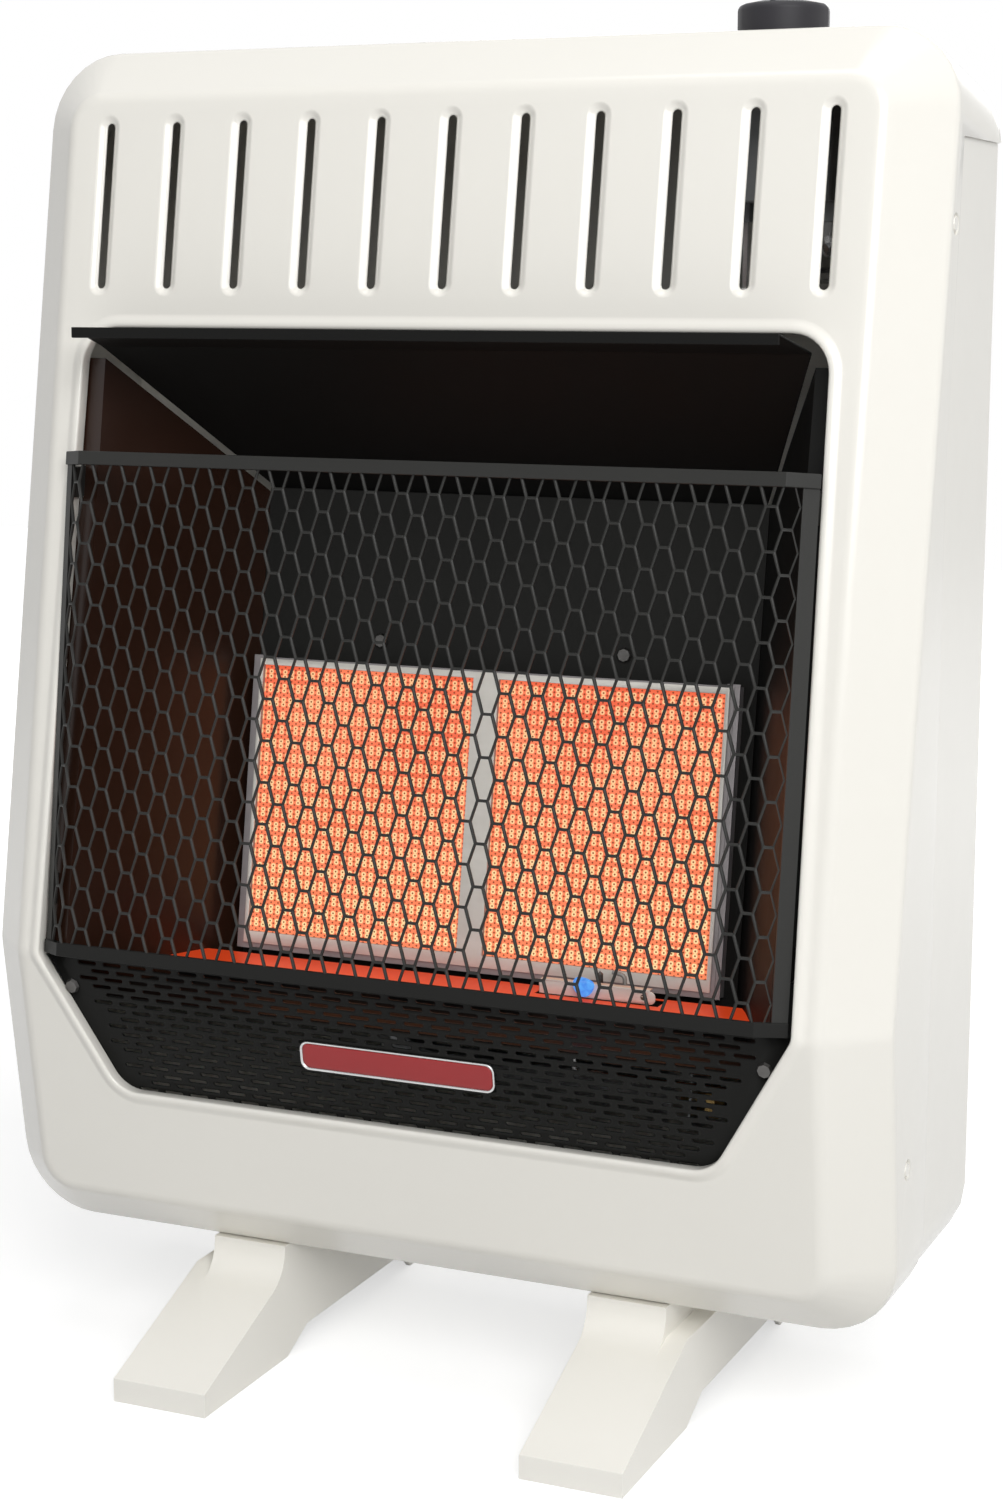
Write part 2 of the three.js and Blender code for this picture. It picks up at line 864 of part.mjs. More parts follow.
// One side wall of the firebox, with a flange turned out behind the front shell
function fireboxSide(side) {
  const top_depth = fireboxFront(hood_bend_rise);
  const flange_top = hoodRise(top_depth) - hood_gap;
  const rear = firebox_depth - fit;
  const wall = [
    [fireboxFoot(-floor_drop), -floor_drop],
    [rear, -floor_drop],
    [rear, hoodRise(rear) - hood_gap],
    [top_depth, flange_top],
    [fireboxFront(fit), fit],
    [fireboxFoot(fit), fit],
  ];
  const edge = [
    [fireboxFront(fit), fit],
    [fireboxFront(fit) + sheet, fit],
    [top_depth + sheet, flange_top],
    [top_depth, flange_top],
  ];
  const placed = (outline) => outline.map(([depth, rise]) => [crease_y + depth, crease_z + rise]);
  const rings = [-floor_drop - overrun, hood_bend_rise].map((rise) => {
    const plan = fireboxPlan(rise);
    const ring = [...plan, ...besideLine(plan, -sheet).reverse()];
    return ring.map(([x, depth]) => new THREE.Vector3(x, crease_y + depth, crease_z + rise));
  });
  const plate = solid(loft(rings)).intersect(solid(prismX(placed(wall), 0, body_half)));
  const flange = solid(prismX(placed(edge), firebox_half, firebox_half + firebox_flange));
  const slits = [lower_tab_rise, upper_tab_rise].map((rise) => tabSlit(1, rise));
  const body = cutBy(plate.add(flange), slits);
  return side > 0 ? body : mirrored(body);
}

// The same solid on the other side of the heater
function mirrored(body) {
  const geometry = geometryOf(body).toNonIndexed().scale(-1, 1, 1);
  const p = geometry.attributes.position;
  for (let i = 0; i < p.count; i += 3) {
    const [x, y, z] = [p.getX(i), p.getY(i), p.getZ(i)];
    p.setXYZ(i, p.getX(i + 1), p.getY(i + 1), p.getZ(i + 1));
    p.setXYZ(i + 1, x, y, z);
  }
  return solid(geometry);
}

function fireboxBack() {
  const top = crease_z + hoodRise(firebox_depth) - hood_gap;
  const y = crease_y + firebox_depth;
  const half = firebox_rear_half + sheet;
  return block(-half, half, y, y + sheet, crease_z - floor_drop, top);
}

// Floor of the firebox, with holes for the mixer tube and for the pilot's lines
function fireboxFloor() {
  const z = crease_z - floor_drop - fit - sheet;
  const [front, bend] = [fireboxFoot(-floor_drop), panelDepth(-floor_drop)];
  const riser = mixerRiserAtFloor();
  const line_room = 4 * pilot_tube_radius;
  const lines = stadium(line_room, 2 * probe_spacing + line_room).map(([u, v]) => [
    pilot_x + probe_spacing + v,
    shelfY() - u,
  ]);
  const holes = [circle(mixer_radius + 2 * sheet, riser.x, riser.y, round_steps), lines];
  const right_edge = [
    [fireboxWidthHalf(front, -floor_drop) + 2 * sheet, front],
    [firebox_rear_half + 2 * sheet, bend],
    [firebox_rear_half + 2 * sheet, firebox_depth + sheet],
  ].map(([x, depth]) => [x, crease_y + depth]);
  const outline = [...right_edge, ...right_edge.map(mirrorPoint).reverse()];
  return solid(prismZ(outline, z, z + sheet, holes));
}

// Deflector hood: hemmed visor, slanted plate that narrows to the back, and a tail behind the panel
function deflectorHood() {
  const tail = panelTop();
  const depth = tail.depth + sheet * Math.cos(burner_lean) + fit;
  const tail_half = panel_half - sheet - fit;
  const stops = [
    [hood_lip_half, hood_lip_depth, hood_lip_rise - hood_hem],
    [hood_lip_half, hood_lip_depth, hood_lip_rise],
    [hood_bend_half, hood_bend_depth, hood_bend_rise],
    [tail_half, depth, tail.rise + fit],
    [tail_half, depth - hood_tail * Math.sin(burner_lean), tail.rise - hood_tail],
  ];
  const under = stops.map(([, y, z]) => [y, z]);
  const over = besideLine(under, hood_sheet);
  const place = (half, [y, z]) => new THREE.Vector3(half, crease_y + y, crease_z + z);
  const rings = stops.map(([half], i) => [
    place(-half, over[i]),
    place(-half, under[i]),
    place(half, under[i]),
    place(half, over[i]),
  ]);
  return solid(loft(rings));
}

// Pieces of the burner stand in the burner's own frame: X across, Y back from its face, Z up along it
function burnerFrame() {
  const h = burner_half;
  const outline = rectangle(-h, h, 0, burner_height);
  const inside = rectangle(-h + frame_sheet, h - frame_sheet, frame_sheet, burner_height - frame_sheet);
  const skirt = solid(prismY(outline, 0, frame_skirt, [inside]));
  const face = solid(prismY(outline, 0, frame_sheet, sides.map(frameWindow)));
  const notch = (x0, x1) => block(x0, x1, frame_border, frame_skirt + overrun, -overrun, frame_sheet + fit);
  const pilot_start = pilot_x - pilot_plate_width / 4;
  const air_start = -pilot_start - notch_gap - notch_width;
  return cutBy(skirt.add(face), [
    notch(pilot_start, pilot_start + pilot_plate_width),
    notch(air_start, air_start + notch_width),
  ]);
}

// One window of the frame
function frameWindow(side) {
  const [x0, x1] = [frame_divider / 2, burner_half - frame_border];
  const [z0, z1] = [frame_foot, burner_height - frame_border];
  return side > 0 ? rectangle(x0, x1, z0, z1) : rectangle(-x1, -x0, z0, z1);
}

function burnerBox() {
  const { half, low, high } = burnerBoxSpan();
  const front = frame_sheet + fit + plaque_thickness + fit;
  const w = box_wall;
  const outer = block(-half, half, front, box_depth, low, high);
  const inner = block(-half + w, half - w, front - overrun, box_depth - w, low + w, high - w);
  const mouth = circle(mixer_radius - mixer_wall, mixer_riser_x, mixer_setback);
  return cutBy(outer, [inner, solid(prismZ(mouth, low - overrun, low + w + overrun))]);
}

// The box fits inside the frame's skirt
function burnerBoxSpan() {
  const gap = frame_sheet + fit;
  return { half: burner_half - gap, low: gap, high: burner_height - gap };
}

function plaqueSpan(side) {
  const [[x0], [x1, z0], [, z1]] = frameWindow(side);
  return [x0 - plaque_lap, x1 + plaque_lap, z0 - plaque_lap, z1 + plaque_lap];
}

// Ceramic tile with an eased front edge
function plaque(side) {
  const [x0, x1, z0, z1] = plaqueSpan(side);
  const front = frame_sheet + fit;
  const ring = (inset, y) =>
    rectangle(x0 + inset, x1 - inset, z0 + inset, z1 - inset).map(([x, z]) => new THREE.Vector3(x, y, z));
  const rings = [
    ring(plaque_edge, front),
    ring(0, front + plaque_edge),
    ring(0, front + plaque_thickness),
  ];
  return solid(loft(rings));
}

// Soft packing round a plaque, between it and the frame's skirt or the next plaque
function gasket(side) {
  const [x0, x1, z0, z1] = plaqueSpan(side);
  const ring = (by) => rectangle(x0 - by, x1 + by, z0 - by, z1 + by);
  const front = frame_sheet + fit + plaque_edge;
  return solid(prismY(ring(fit + gasket_width), front, front + gasket_thickness, [ring(fit)]));
}

// Dark panel round the burner, with sides turned back and a window for the burner
function burnerPanel() {
  const front = panel_setback;
  const back = front + sheet;
  const low = burnerUp(fit - floor_drop, back);
  const box = burnerBoxSpan();
  const window = rectangle(-box.half - fit, box.half + fit, box.low - fit, box.high + fit);
  const outline = rectangle(-panel_half, panel_half, low, panel_height);
  const plate = solid(prismY(outline, front, back, [window]));
  const rear = panelReturn(panel_height - panel_return_drop);
  const foot = panelReturn(0);
  const cheek = [
    [front, low],
    [back, low],
    [foot, burnerUp(fit - floor_drop, foot)],
    [rear, panel_height - panel_return_drop],
    [back, panel_height],
    [front, panel_height],
  ];
  const returns = [panel_half - sheet, -panel_half].map((x) => solid(prismX(cheek, x, x + sheet)));
  const holes = sides.map((side) => {
    const hole = circle(screw_radius + fit, (side * panel_screw_spacing) / 2, panel_screw_rise);
    return solid(prismY(hole, front - overrun, front + overrun));
  });
  return cutBy(joined([plate, ...returns]), holes);
}

// Height in the burner's frame of a place at depth y of that frame and a rise from the crease
const burnerUp = (rise, y) => (rise + burner_drop + y * Math.sin(burner_lean)) / Math.cos(burner_lean);

// Depth in the burner's frame, at a height of it, just short of the firebox's back
function panelReturn(up) {
  const run = firebox_depth - 2 * fit - burner_depth - up * Math.sin(burner_lean);
  return run / Math.cos(burner_lean);
}

function burnerScrew(side) {
  const geometry = screw().rotateX(Math.PI / 2);
  return solid(geometry.translate((side * panel_screw_spacing) / 2, panel_setback - fit, panel_screw_rise));
}

// Mixer tube: bell mouth, throat, level run, elbow and riser up to the box, in the burner's frame
function mixerTube() {
  const bore = mixer_radius - mixer_wall;
  const bell_x = mixer_riser_x + mixer_length - mixer_bell_length;
  const run = (from, to) => [
    [from, mixer_setback, -mixer_drop],
    [mixer_riser_x, mixer_setback, -mixer_drop],
    [mixer_riser_x, mixer_setback, to],
  ];
  const bend = 2 * mixer_radius;
  const outer = solid(pipe(run(bell_x, frame_sheet), mixer_radius, bend, small_round_steps));
  const inner = solid(pipe(run(bell_x - fit, frame_sheet + overrun), bore, bend, small_round_steps));
  const stand = (profile) => {
    const geometry = turned(profile, small_round_steps).rotateY(Math.PI / 2);
    return solid(geometry.translate(bell_x, mixer_setback, -mixer_drop));
  };
  const bell = stand([
    [0, -mixer_wall],
    [mixer_radius, -mixer_wall],
    [mixer_radius, 0],
    [mixer_bell_radius, mixer_bell_length],
    [0, mixer_bell_length],
  ]);
  const hollow = stand([
    [0, -overrun],
    [mixer_throat_radius, -overrun],
    [mixer_throat_radius, 0],
    [mixer_bell_radius - mixer_wall, mixer_bell_length],
    [mixer_bell_radius - mixer_wall, mixer_bell_length + overrun],
    [0, mixer_bell_length + overrun],
  ]);
  return cutBy(outer.subtract(inner).add(bell), [hollow]);
}

// Where the riser passes the firebox's floor, in the heater's frame
function mixerRiserAtFloor() {
  const up = (burner_drop - floor_drop) / Math.cos(burner_lean);
  return {
    x: mixer_riser_x,
    y: crease_y + burner_depth + mixer_setback * Math.cos(burner_lean) + up * Math.sin(burner_lean),
  };
}

const injector_x = mixer_riser_x + mixer_length + injector_gap;

// Brass injector with a hexagon and a cone nose that points into the mixer tube
function injector() {
  const body = turned(
    [
      [injector_orifice, 0],
      [injector_radius / 2, 0],
      [injector_radius, injector_nose],
      [injector_radius, injector_length],
      [burner_tube_radius + fit, injector_length],
      [burner_tube_radius + fit, injector_length / 2],
      [injector_orifice, injector_length / 2],
      [injector_orifice, 0],
    ],
    small_round_steps,
  );
  const [low, high] = injector_hexagon_shares.map((share) => share * injector_length);
  const nut = hexagonRing(injector_radius, injector_hexagon_share, low, high);
  const stand = (geometry) =>
    solid(geometry.rotateY(Math.PI / 2).translate(injector_x, mixer_setback, -mixer_drop));
  return stand(body).add(stand(nut));
}

// Hexagon round a spigot, sunk a little into its wall
function hexagonRing(radius, share, low, high) {
  return prismZ(circle(radius * share, 0, 0, 6), low, high, [circle(radius - fit, 0, 0, small_round_steps)]);
}

// Bracket that hangs under the firebox's floor and holds the injector
function injectorBracket() {
  const x = injector_x + injector_nose + sheet;
  const [y0, y1] = [mixer_setback - injector_bracket_width / 2, mixer_setback + injector_bracket_width / 2];
  const low = -mixer_drop - injector_bracket_width / 2;
  const under = (y) => burnerUp(-floor_drop - sheet - 2 * fit, y);
  const outline = [
    [y0, low],
    [y1, low],
    [y1, under(y1)],
    [y0, under(y0)],
  ];
  const foot = [
    [y0, under(y0) - sheet],
    [y1, under(y1) - sheet],
    [y1, under(y1)],
    [y0, under(y0)],
  ];
  const hole = circle(injector_radius + fit, mixer_setback, -mixer_drop);
  const plate = solid(prismX(outline, x, x + sheet, [hole]));
  return plate.add(solid(prismX(foot, x, x + injector_bracket_width / 2)));
}

// Pilot: an upright plate on the firebox's floor, with the burner, probe and electrode through its shelf
const pilot_z = crease_z - floor_drop;
const pilot_y = crease_y + pilot_depth;
const shelf_z = pilot_z + pilot_plate_height / 2;

function pilotBracket() {
  const x0 = pilot_x - pilot_plate_width / 4;
  const x1 = x0 + pilot_plate_width;
  const corner = pilot_plate_height / 3;
  const plate = rounded([
    [x0, pilot_z, 0],
    [x1, pilot_z, 0],
    [x1, pilot_z + pilot_plate_height, corner],
    [x0, pilot_z + pilot_plate_height, corner],
  ]);
  const eye = circle(corner / 2, x1 - pilot_plate_height / 2, pilot_z + (2 * pilot_plate_height) / 3);
  const upright = solid(prismY(plate, pilot_y, pilot_y + sheet, [eye]));
  const depth = 4 * pilot_tube_radius;
  const holes = Object.values(pilot_places).map(({ x, radius }) => circle(radius + fit, x, shelfY()));
  const shelf_outline = rectangle(x0, x1 - pilot_plate_height, pilot_y, pilot_y + depth);
  const shelf = solid(prismZ(shelf_outline, shelf_z, shelf_z + sheet, holes));
  return upright.add(shelf);
}

// What stands in the pilot's shelf
const pilot_places = {
  burner: { x: pilot_x, radius: pilot_tube_radius },
  probe: { x: pilot_x + probe_spacing, radius: probe_radius },
  electrode: { x: pilot_x + 2 * probe_spacing, radius: electrode_sleeve },
};

const shelfY = () => pilot_y + sheet + 2 * pilot_tube_radius;

function pilotBurner() {
  const body = turned(
    [
      [0, -pilot_height / 2],
      [pilot_tube_radius, -pilot_height / 2],
      [pilot_tube_radius, sheet + fit],
      [pilot_hood_radius, sheet + fit],
      [pilot_hood_radius, pilot_height / 2],
      [pilot_tube_radius, pilot_height / 2 + fit],
      [pilot_tube_radius - 2 * fit, pilot_height / 2 + fit],
      [pilot_tube_radius - 2 * fit, sheet],
      [0, sheet],
    ],
    small_round_steps,
  );
  const half = pilot_tube_radius / 2;
  const port = prismX(rectangle(-half, half, pilot_height / 4, pilot_height), 0, overrun + pilot_hood_radius);
  return solid(body).subtract(solid(port)).translate([pilot_x, shelfY(), shelf_z]);
}

function thermocouple() {
  const body = turned(
    [
      [0, -pilot_height / 2],
      [probe_radius, -pilot_height / 2],
      [probe_radius, pilot_height - probe_radius],
      [0, pilot_height],
    ],
    small_round_steps,
  );
  return solid(body.translate(pilot_x + probe_spacing, shelfY(), shelf_z));
}

// Spark electrode: a wire bent towards the pilot, in a ceramic sleeve
function sparkElectrode() {
  const x = pilot_x + 2 * probe_spacing;
  const y = shelfY();
  const sleeve = solid(rod(electrode_sleeve, -pilot_height / 2, pilot_height / 4).translate(x, y, shelf_z));
  const rise = shelf_z + pilot_height - electrode_radius;
  const route = [
    [x, y, shelf_z],
    [x, y, rise],
    [x - probe_spacing / 2, y, rise + electrode_radius],
  ];
  const wire = pipe(route, electrode_radius, 2 * electrode_radius, lead_sides);
  return sleeve.add(solid(wire));
}

// Gas valve under the knob. Its own frame has the stem's axis as Z and the bracket's underside at 0
const bracket_z = crease_z + knob_top_rise - valve_drop;

function gasValve() {
  const top = bracket_z - fit - valve_neck_height;
  const low = top - valve_height;
  const outline = rounded([
    [-valve_width / 2, -valve_depth / 2, valve_edge],
    [valve_width / 2, -valve_depth / 2, valve_edge],
    [valve_width / 2, valve_depth / 2, valve_edge],
    [-valve_width / 2, valve_depth / 2, valve_edge],
  ]);
  const body = solid(prismZ(outline, low, top));
  const neck = solid(rod(valve_neck_radius, top - overrun, bracket_z - fit));
  const bore_foot = stemFoot() - knob_travel - fit;
  const bore = solid(rod(stem_radius + fit, bore_foot, bracket_z + overrun, round_steps));
  const ports = Object.values(valve_ports);
  const stubs = ports.map(({ x, y, radius }) =>
    solid(rod(radius + fit + valve_port_wall, valve_low, low + overrun).translate(x, y, 0)),
  );
  const sockets = ports.map(({ x, y, radius }) =>
    solid(rod(radius + fit, valve_low - overrun, low - fit).translate(x, y, 0)),
  );
  return cutBy(joined([body, neck, ...stubs]), [bore, ...sockets]).translate([knob_x, knob_y, 0]);
}

// Ports under the valve: place from the stem's axis, and radius of the line that plugs in
const port_step = valve_width / 3;
const rear_row = valve_depth / 5;
const front_row = -valve_depth / 4;
const valve_ports = {
  supply: { x: port_step, y: rear_row, radius: supply_tube_radius },
  burner: { x: 0, y: rear_row, radius: burner_tube_radius },
  pilot: { x: -port_step, y: rear_row, radius: pilot_line_radius },
  thermocouple: { x: 0, y: front_row, radius: lead_radius },
  ignition: { x: -port_step, y: front_row, radius: lead_radius },
};
const valve_low = bracket_z - fit - valve_neck_height - valve_height - valve_port_length;
const stemFoot = () => bracket_z - valve_neck_height - stem_bite;

// Bracket plate over the valve, hung on the casing's back
function valveBracket() {
  const rear = back_y - sheet - fit;
  const front = knob_y - valve_depth / 2;
  const [x0, x1] = [knob_x - bracket_width / 2, knob_x + bracket_width / 2];
  const hole = circle(stem_radius + 2 * fit, knob_x, knob_y);
  const shelf = solid(prismZ(rectangle(x0, x1, front, rear), bracket_z, bracket_z + sheet, [hole]));
  const flange = block(x0, x1, rear - sheet, rear, bracket_z - bracket_drop, bracket_z + sheet);
  return shelf.add(flange);
}

const hub_foot_z = crease_z + knob_top_rise - knob_height + knob_wall;
const collar_z = hub_foot_z - fit - collar_height;

// Stem with a flat that turns with the knob
function valveStem() {
  const top = crease_z + knob_top_rise - knob_crown - knob_wall - 2 * fit;
  const bar = solid(rod(stem_radius, stemFoot(), top, round_steps));
  const flat = block(
    stem_radius * stem_flat_share,
    stem_radius + overrun,
    -stem_radius - overrun,
    stem_radius + overrun,
    hub_foot_z,
    top + overrun,
  );
  return bar.subtract(flat).translate([knob_x, knob_y, 0]);
}

// Collar under the knob's hub that the spring pushes up
function springCollar() {
  const outline = circle(collar_radius, knob_x, knob_y, round_steps);
  const hole = circle(stem_radius + fit, knob_x, knob_y, round_steps);
  return solid(prismZ(outline, collar_z, collar_z + collar_height, [hole]));
}

// Return spring between the bracket and the collar
function knobSpring() {
  const low = bracket_z + sheet + fit + spring_wire;
  const high = collar_z - fit - spring_wire;
  class Helix extends THREE.Curve {
    getPoint(t, target = new THREE.Vector3()) {
      const angle = 2 * Math.PI * spring_turns * t;
      const [x, y] = [spring_radius * Math.cos(angle), spring_radius * Math.sin(angle)];
      return target.set(x, y, low + (high - low) * t);
    }
  }
  const wire = new THREE.ExtrudeGeometry(shapeOf(circle(spring_wire, 0, 0, spring_sides)), {
    steps: spring_steps * spring_turns,
    extrudePath: new Helix(),
    bevelEnabled: false,
  });
  return solid(wire.translate(knob_x, knob_y, 0));
}

// Knob: crowned cap, hollow below, with a hub whose bore has a flat
function controlKnob() {
  const top = knob_height;
  const edge = Array.from({ length: corner_steps + 1 }, (_, k) => {
    const angle = (Math.PI * k) / (2 * corner_steps);
    const reach = knob_radius - knob_edge + knob_edge * Math.cos(angle);
    return [reach, top - knob_crown - knob_edge + knob_edge * Math.sin(angle)];
  });
  const shell = turned(
    [
      [0, 0],
      [knob_radius, 0],
      ...edge,
      [knob_radius / 2, top - knob_crown / 4],
      [0, top],
    ],
    2 * small_round_steps,
  );
  const hollow = turned(
    [
      [knob_hub_radius, -overrun],
      [knob_radius - knob_wall, -overrun],
      [knob_radius - knob_wall, top - knob_crown - knob_edge - knob_wall],
      [knob_hub_radius, top - knob_crown - knob_edge - knob_wall],
      [knob_hub_radius, -overrun],
    ],
    round_steps,
  );
  const under_hub = rod(knob_hub_radius + fit, -overrun, knob_wall, round_steps);
  const bore_top = top - knob_crown - knob_wall;
  const bore = solid(rod(stem_radius + fit, 0, bore_top, round_steps));
  const key = block(
    stem_radius * stem_flat_share + fit,
    stem_radius + overrun,
    -stem_radius - overrun,
    stem_radius + overrun,
    knob_wall,
    bore_top + overrun,
  );
  const [near, far] = pointer_shares.map((share) => share * knob_radius);
  const pointer = prismX(
    [
      [-far, top - knob_crown],
      [-near, top - knob_crown / 2],
      [-near, top + knob_crown / 8],
      [-far, top - knob_crown / 2],
    ],
    -knob_wall / 2,
    knob_wall / 2,
  );
  const body = cutBy(solid(shell), [solid(hollow), solid(under_hub), bore.subtract(key)]);
  return body.add(solid(pointer)).translate([knob_x, knob_y, crease_z + knob_top_rise - knob_height]);
}

// Pressure regulator: round cast body with a cap, standing over the inlet
const regulator_z = floor_gap + regulator_rise;
const regulator_port_share = 0.42;
const regulator_shares = [
  [0, 0],
  [0.7, 0],
  [1, 0.3],
  [1, 0.55],
  [0.8, 0.72],
  [0, 0.78],
];
const regulator_y = crease_y + regulator_depth;

function regulator() {
  const body = turned(
    regulator_shares.map(([r, z]) => [r * regulator_radius, z * regulator_height]),
  );
  const cap = rod(regulator_cap_radius, regulator_height / 2, regulator_height);
  const socket = rod(inlet_radius - inlet_bore / 2, -overrun, regulator_height / 5);
  const length = regulator_radius + regulator_port_length;
  const spigot = rod(supply_tube_radius + 2 * valve_port_wall, 0, length);
  const drilling = rod(supply_tube_radius + fit, regulator_radius - fit, length + overrun);
  const aside = (geometry) =>
    solid(geometry.rotateY(Math.PI / 2).translate(0, 0, regulator_port_share * regulator_height));
  const whole = joined([solid(body), solid(cap), aside(spigot)]).subtract(solid(socket));
  return whole.subtract(aside(drilling)).translate([regulator_x, regulator_y, regulator_z]);
}

// Inlet fitting: hexagon and threaded spigot through the casing's bottom
function inletFitting() {
  const low = floor_gap + fit;
  const high = regulator_z - fit;
  const spigot = turned([
    [inlet_bore, low],
    [inlet_radius, low],
    [inlet_radius, high],
    [inlet_bore, high],
    [inlet_bore, low],
  ]);
  const hexagon = hexagonRing(inlet_radius, inlet_hexagon_share, (low + high) / 2, high);
  return solid(spigot).add(solid(hexagon)).translate([regulator_x, regulator_y, 0]);
}

// Lines leave their ports downwards, turn aside at levels of their own and drop beside the firebox.
// start gives the first two points of a line, from its socket to its level.
function lineStart({ x, y }, drop) {
  return [
    [knob_x + x, knob_y + y, valve_low + overrun],
    [knob_x + x, knob_y + y, valve_low - drop],
  ];
}

const supply_drop = 2 * tube_bend;
const burner_line_drop = supply_drop + supply_tube_radius + burner_tube_radius + line_gap;

function supplyTube() {
  const x = riser_x + riser_spacing;
  const out_z = regulator_z + regulator_port_share * regulator_height;
  const route = [
    ...lineStart(valve_ports.supply, supply_drop),
    [x, regulator_y, valve_low - supply_drop],
    [x, regulator_y, out_z],
    [regulator_x + regulator_radius + fit, regulator_y, out_z],
  ];
  return solid(pipe(route, supply_tube_radius, tube_bend));
}

// Place in the heater's frame of a point of the burner's frame
function fromBurner(x, y, z) {
  const point = new THREE.Vector3(x, y, z).applyAxisAngle(new THREE.Vector3(1, 0, 0), -burner_lean);
  return [point.x, point.y + crease_y + burner_depth, point.z + crease_z - burner_drop];
}

function burnerTube() {
  const [end_x, end_y, end_z] = fromBurner(
    injector_x + (2 * injector_length) / 3,
    mixer_setback,
    -mixer_drop,
  );
  const y = knob_y - riser_spacing;
  const route = [
    ...lineStart(valve_ports.burner, burner_line_drop),
    [riser_x, y, valve_low - burner_line_drop],
    [riser_x, y, end_z],
    [end_x + injector_length, end_y, end_z],
    [end_x, end_y, end_z],
  ];
  return solid(pipe(route, burner_tube_radius, tube_bend));
}

// A thin line from the valve to a place in the pilot's shelf, in its own lane and at its own levels
function pilotLine(port, lane, end_x) {
  const x = riser_x - riser_spacing / 3;
  const y = knob_y - riser_spacing - lane_step / 2 - lane * lane_step;
  const upper = valve_low - burner_line_drop - lane * level_step - port.radius;
  const lower = pilot_z - pilot_height / 2 - (lane_count + 1 - lane) * level_step;
  const route = [
    ...lineStart(port, valve_low - upper),
    [x, y, upper],
    [x, y, lower],
    [x, shelfY(), lower],
    [end_x, shelfY(), lower],
    [end_x, shelfY(), shelf_z - pilot_height / 2 - fit],
  ];
  return solid(pipe(route, port.radius, lead_bend, lead_sides));
}

// Guard: pieces stand in the guard's own frame, X across, Y back from its face, Z up along it
const guard_bends = () => [
  [-guard_wing_half, guard_wing_back],
  [-guard_half, 0],
  [guard_half, 0],
  [guard_wing_half, guard_wing_back],
];

// A band along the guard's plan line, from a step in front of it and of the given thickness
function guardBand(front, thickness) {
  const line = guard_bends();
  return [...besideLine(line, -front), ...besideLine(line, thickness - front).reverse()];
}

// Openings of the expanded metal that fall within a window, cut off at its edges
function meshOpenings(x0, x1, z0, z1) {
  const half_wide = mesh_column_pitch - mesh_bond / 2 - mesh_strand / 2;
  const half_bond = mesh_bond / 2 - mesh_strand / 4;
  const half_tall = mesh_row_pitch / 2 - mesh_strand / 2;
  const hexagon = (x, z) => [
    [x + half_wide, z],
    [x + half_bond, z + half_tall],
    [x - half_bond, z + half_tall],
    [x - half_wide, z],
    [x - half_bond, z - half_tall],
    [x + half_bond, z - half_tall],
  ];
  const openings = [];
  const first = Math.floor(x0 / mesh_column_pitch) - 1;
  const last = Math.ceil(x1 / mesh_column_pitch) + 1;
  for (let column = first; column <= last; column++) {
    const start = column % 2 ? mesh_row_pitch / 2 : 0;
    for (let z = start; z < z1 + mesh_row_pitch; z += mesh_row_pitch) {
      const piece = clipped(hexagon(column * mesh_column_pitch, z), x0, x1, z0, z1);
      if (areaOf(piece) > mesh_strand * mesh_bond) openings.push(piece);
    }
  }
  return openings;
}

const areaOf = (points) =>
  points.length < 3 ? 0 : Math.abs(THREE.ShapeUtils.area(points.map(([x, y]) => ({ x, y }))));

// A convex outline cut off at the four sides of a window
function clipped(points, x0, x1, z0, z1) {
  const bounds = [[0, x0, 1], [0, x1, -1], [1, z0, 1], [1, z1, -1]];
  return bounds.reduce((outline, [axis, limit, sign]) => {
    const kept = [];
    outline.forEach((p, i) => {
      const q = outline[(i + 1) % outline.length];
      const [dp, dq] = [sign * (p[axis] - limit), sign * (q[axis] - limit)];
      if (dp >= 0) kept.push(p);
      if (dp * dq < 0) {
        const t = dp / (dp - dq);
        kept.push([p[0] + (q[0] - p[0]) * t, p[1] + (q[1] - p[1]) * t]);
      }
    });
    return kept;
  }, points);
}

function guardScreen() {
  const low = guard_rail_skin + fit;
  const high = guard_height - guard_rail_skin - fit;
  const [z0, z1] = [guard_rail_height - mesh_strand, guard_height - guard_rail_height + mesh_strand];
  const cutter = (openings) =>
    mergeGeometries(openings.map((outline) => prismY(outline, -overrun, guard_sheet + overrun)));
  const front = cutter(meshOpenings(guard_fold - guard_half, guard_half - guard_fold, z0, z1));
  const wing_length = Math.hypot(guard_wing_out, guard_wing_back);
  const wing_angle = Math.atan2(guard_wing_back, guard_wing_out);
  const wing_start = guard_half + guard_fold;
  const wing = cutter(meshOpenings(wing_start, guard_half + wing_length - guard_wing_solid, z0, z1))
    .translate(-guard_half, 0, 0)
    .rotateZ(wing_angle)
    .translate(guard_half, 0, 0);
  const bent = solid(prismZ(guardBand(0, guard_sheet), low, high));
  const mesh = cutBy(bent, [solid(front), solid(wing), mirrored(solid(wing))]);
  const tabs = [lower_tab_rise, upper_tab_rise].map(guardTab);
  return joined([mesh, ...tabs, ...tabs.map(mirrored)]);
}

// One tab, level in the heater's frame, on the rear edge of the right wing
function guardTab(rise) {
  const slant = tab_depth * Math.tan(guard_lean);
  const [y0, y1] = [guard_wing_back, guard_wing_back + tab_depth];
  const tall = tab_height / Math.cos(guard_lean);
  const outline = [
    [y0, rise],
    [y1, rise + slant],
    [y1, rise + slant + tall],
    [y0, rise + tall],
  ];
  const x = guard_wing_half - tab_inset;
  return solid(prismX(outline, x - tab_width, x));
}

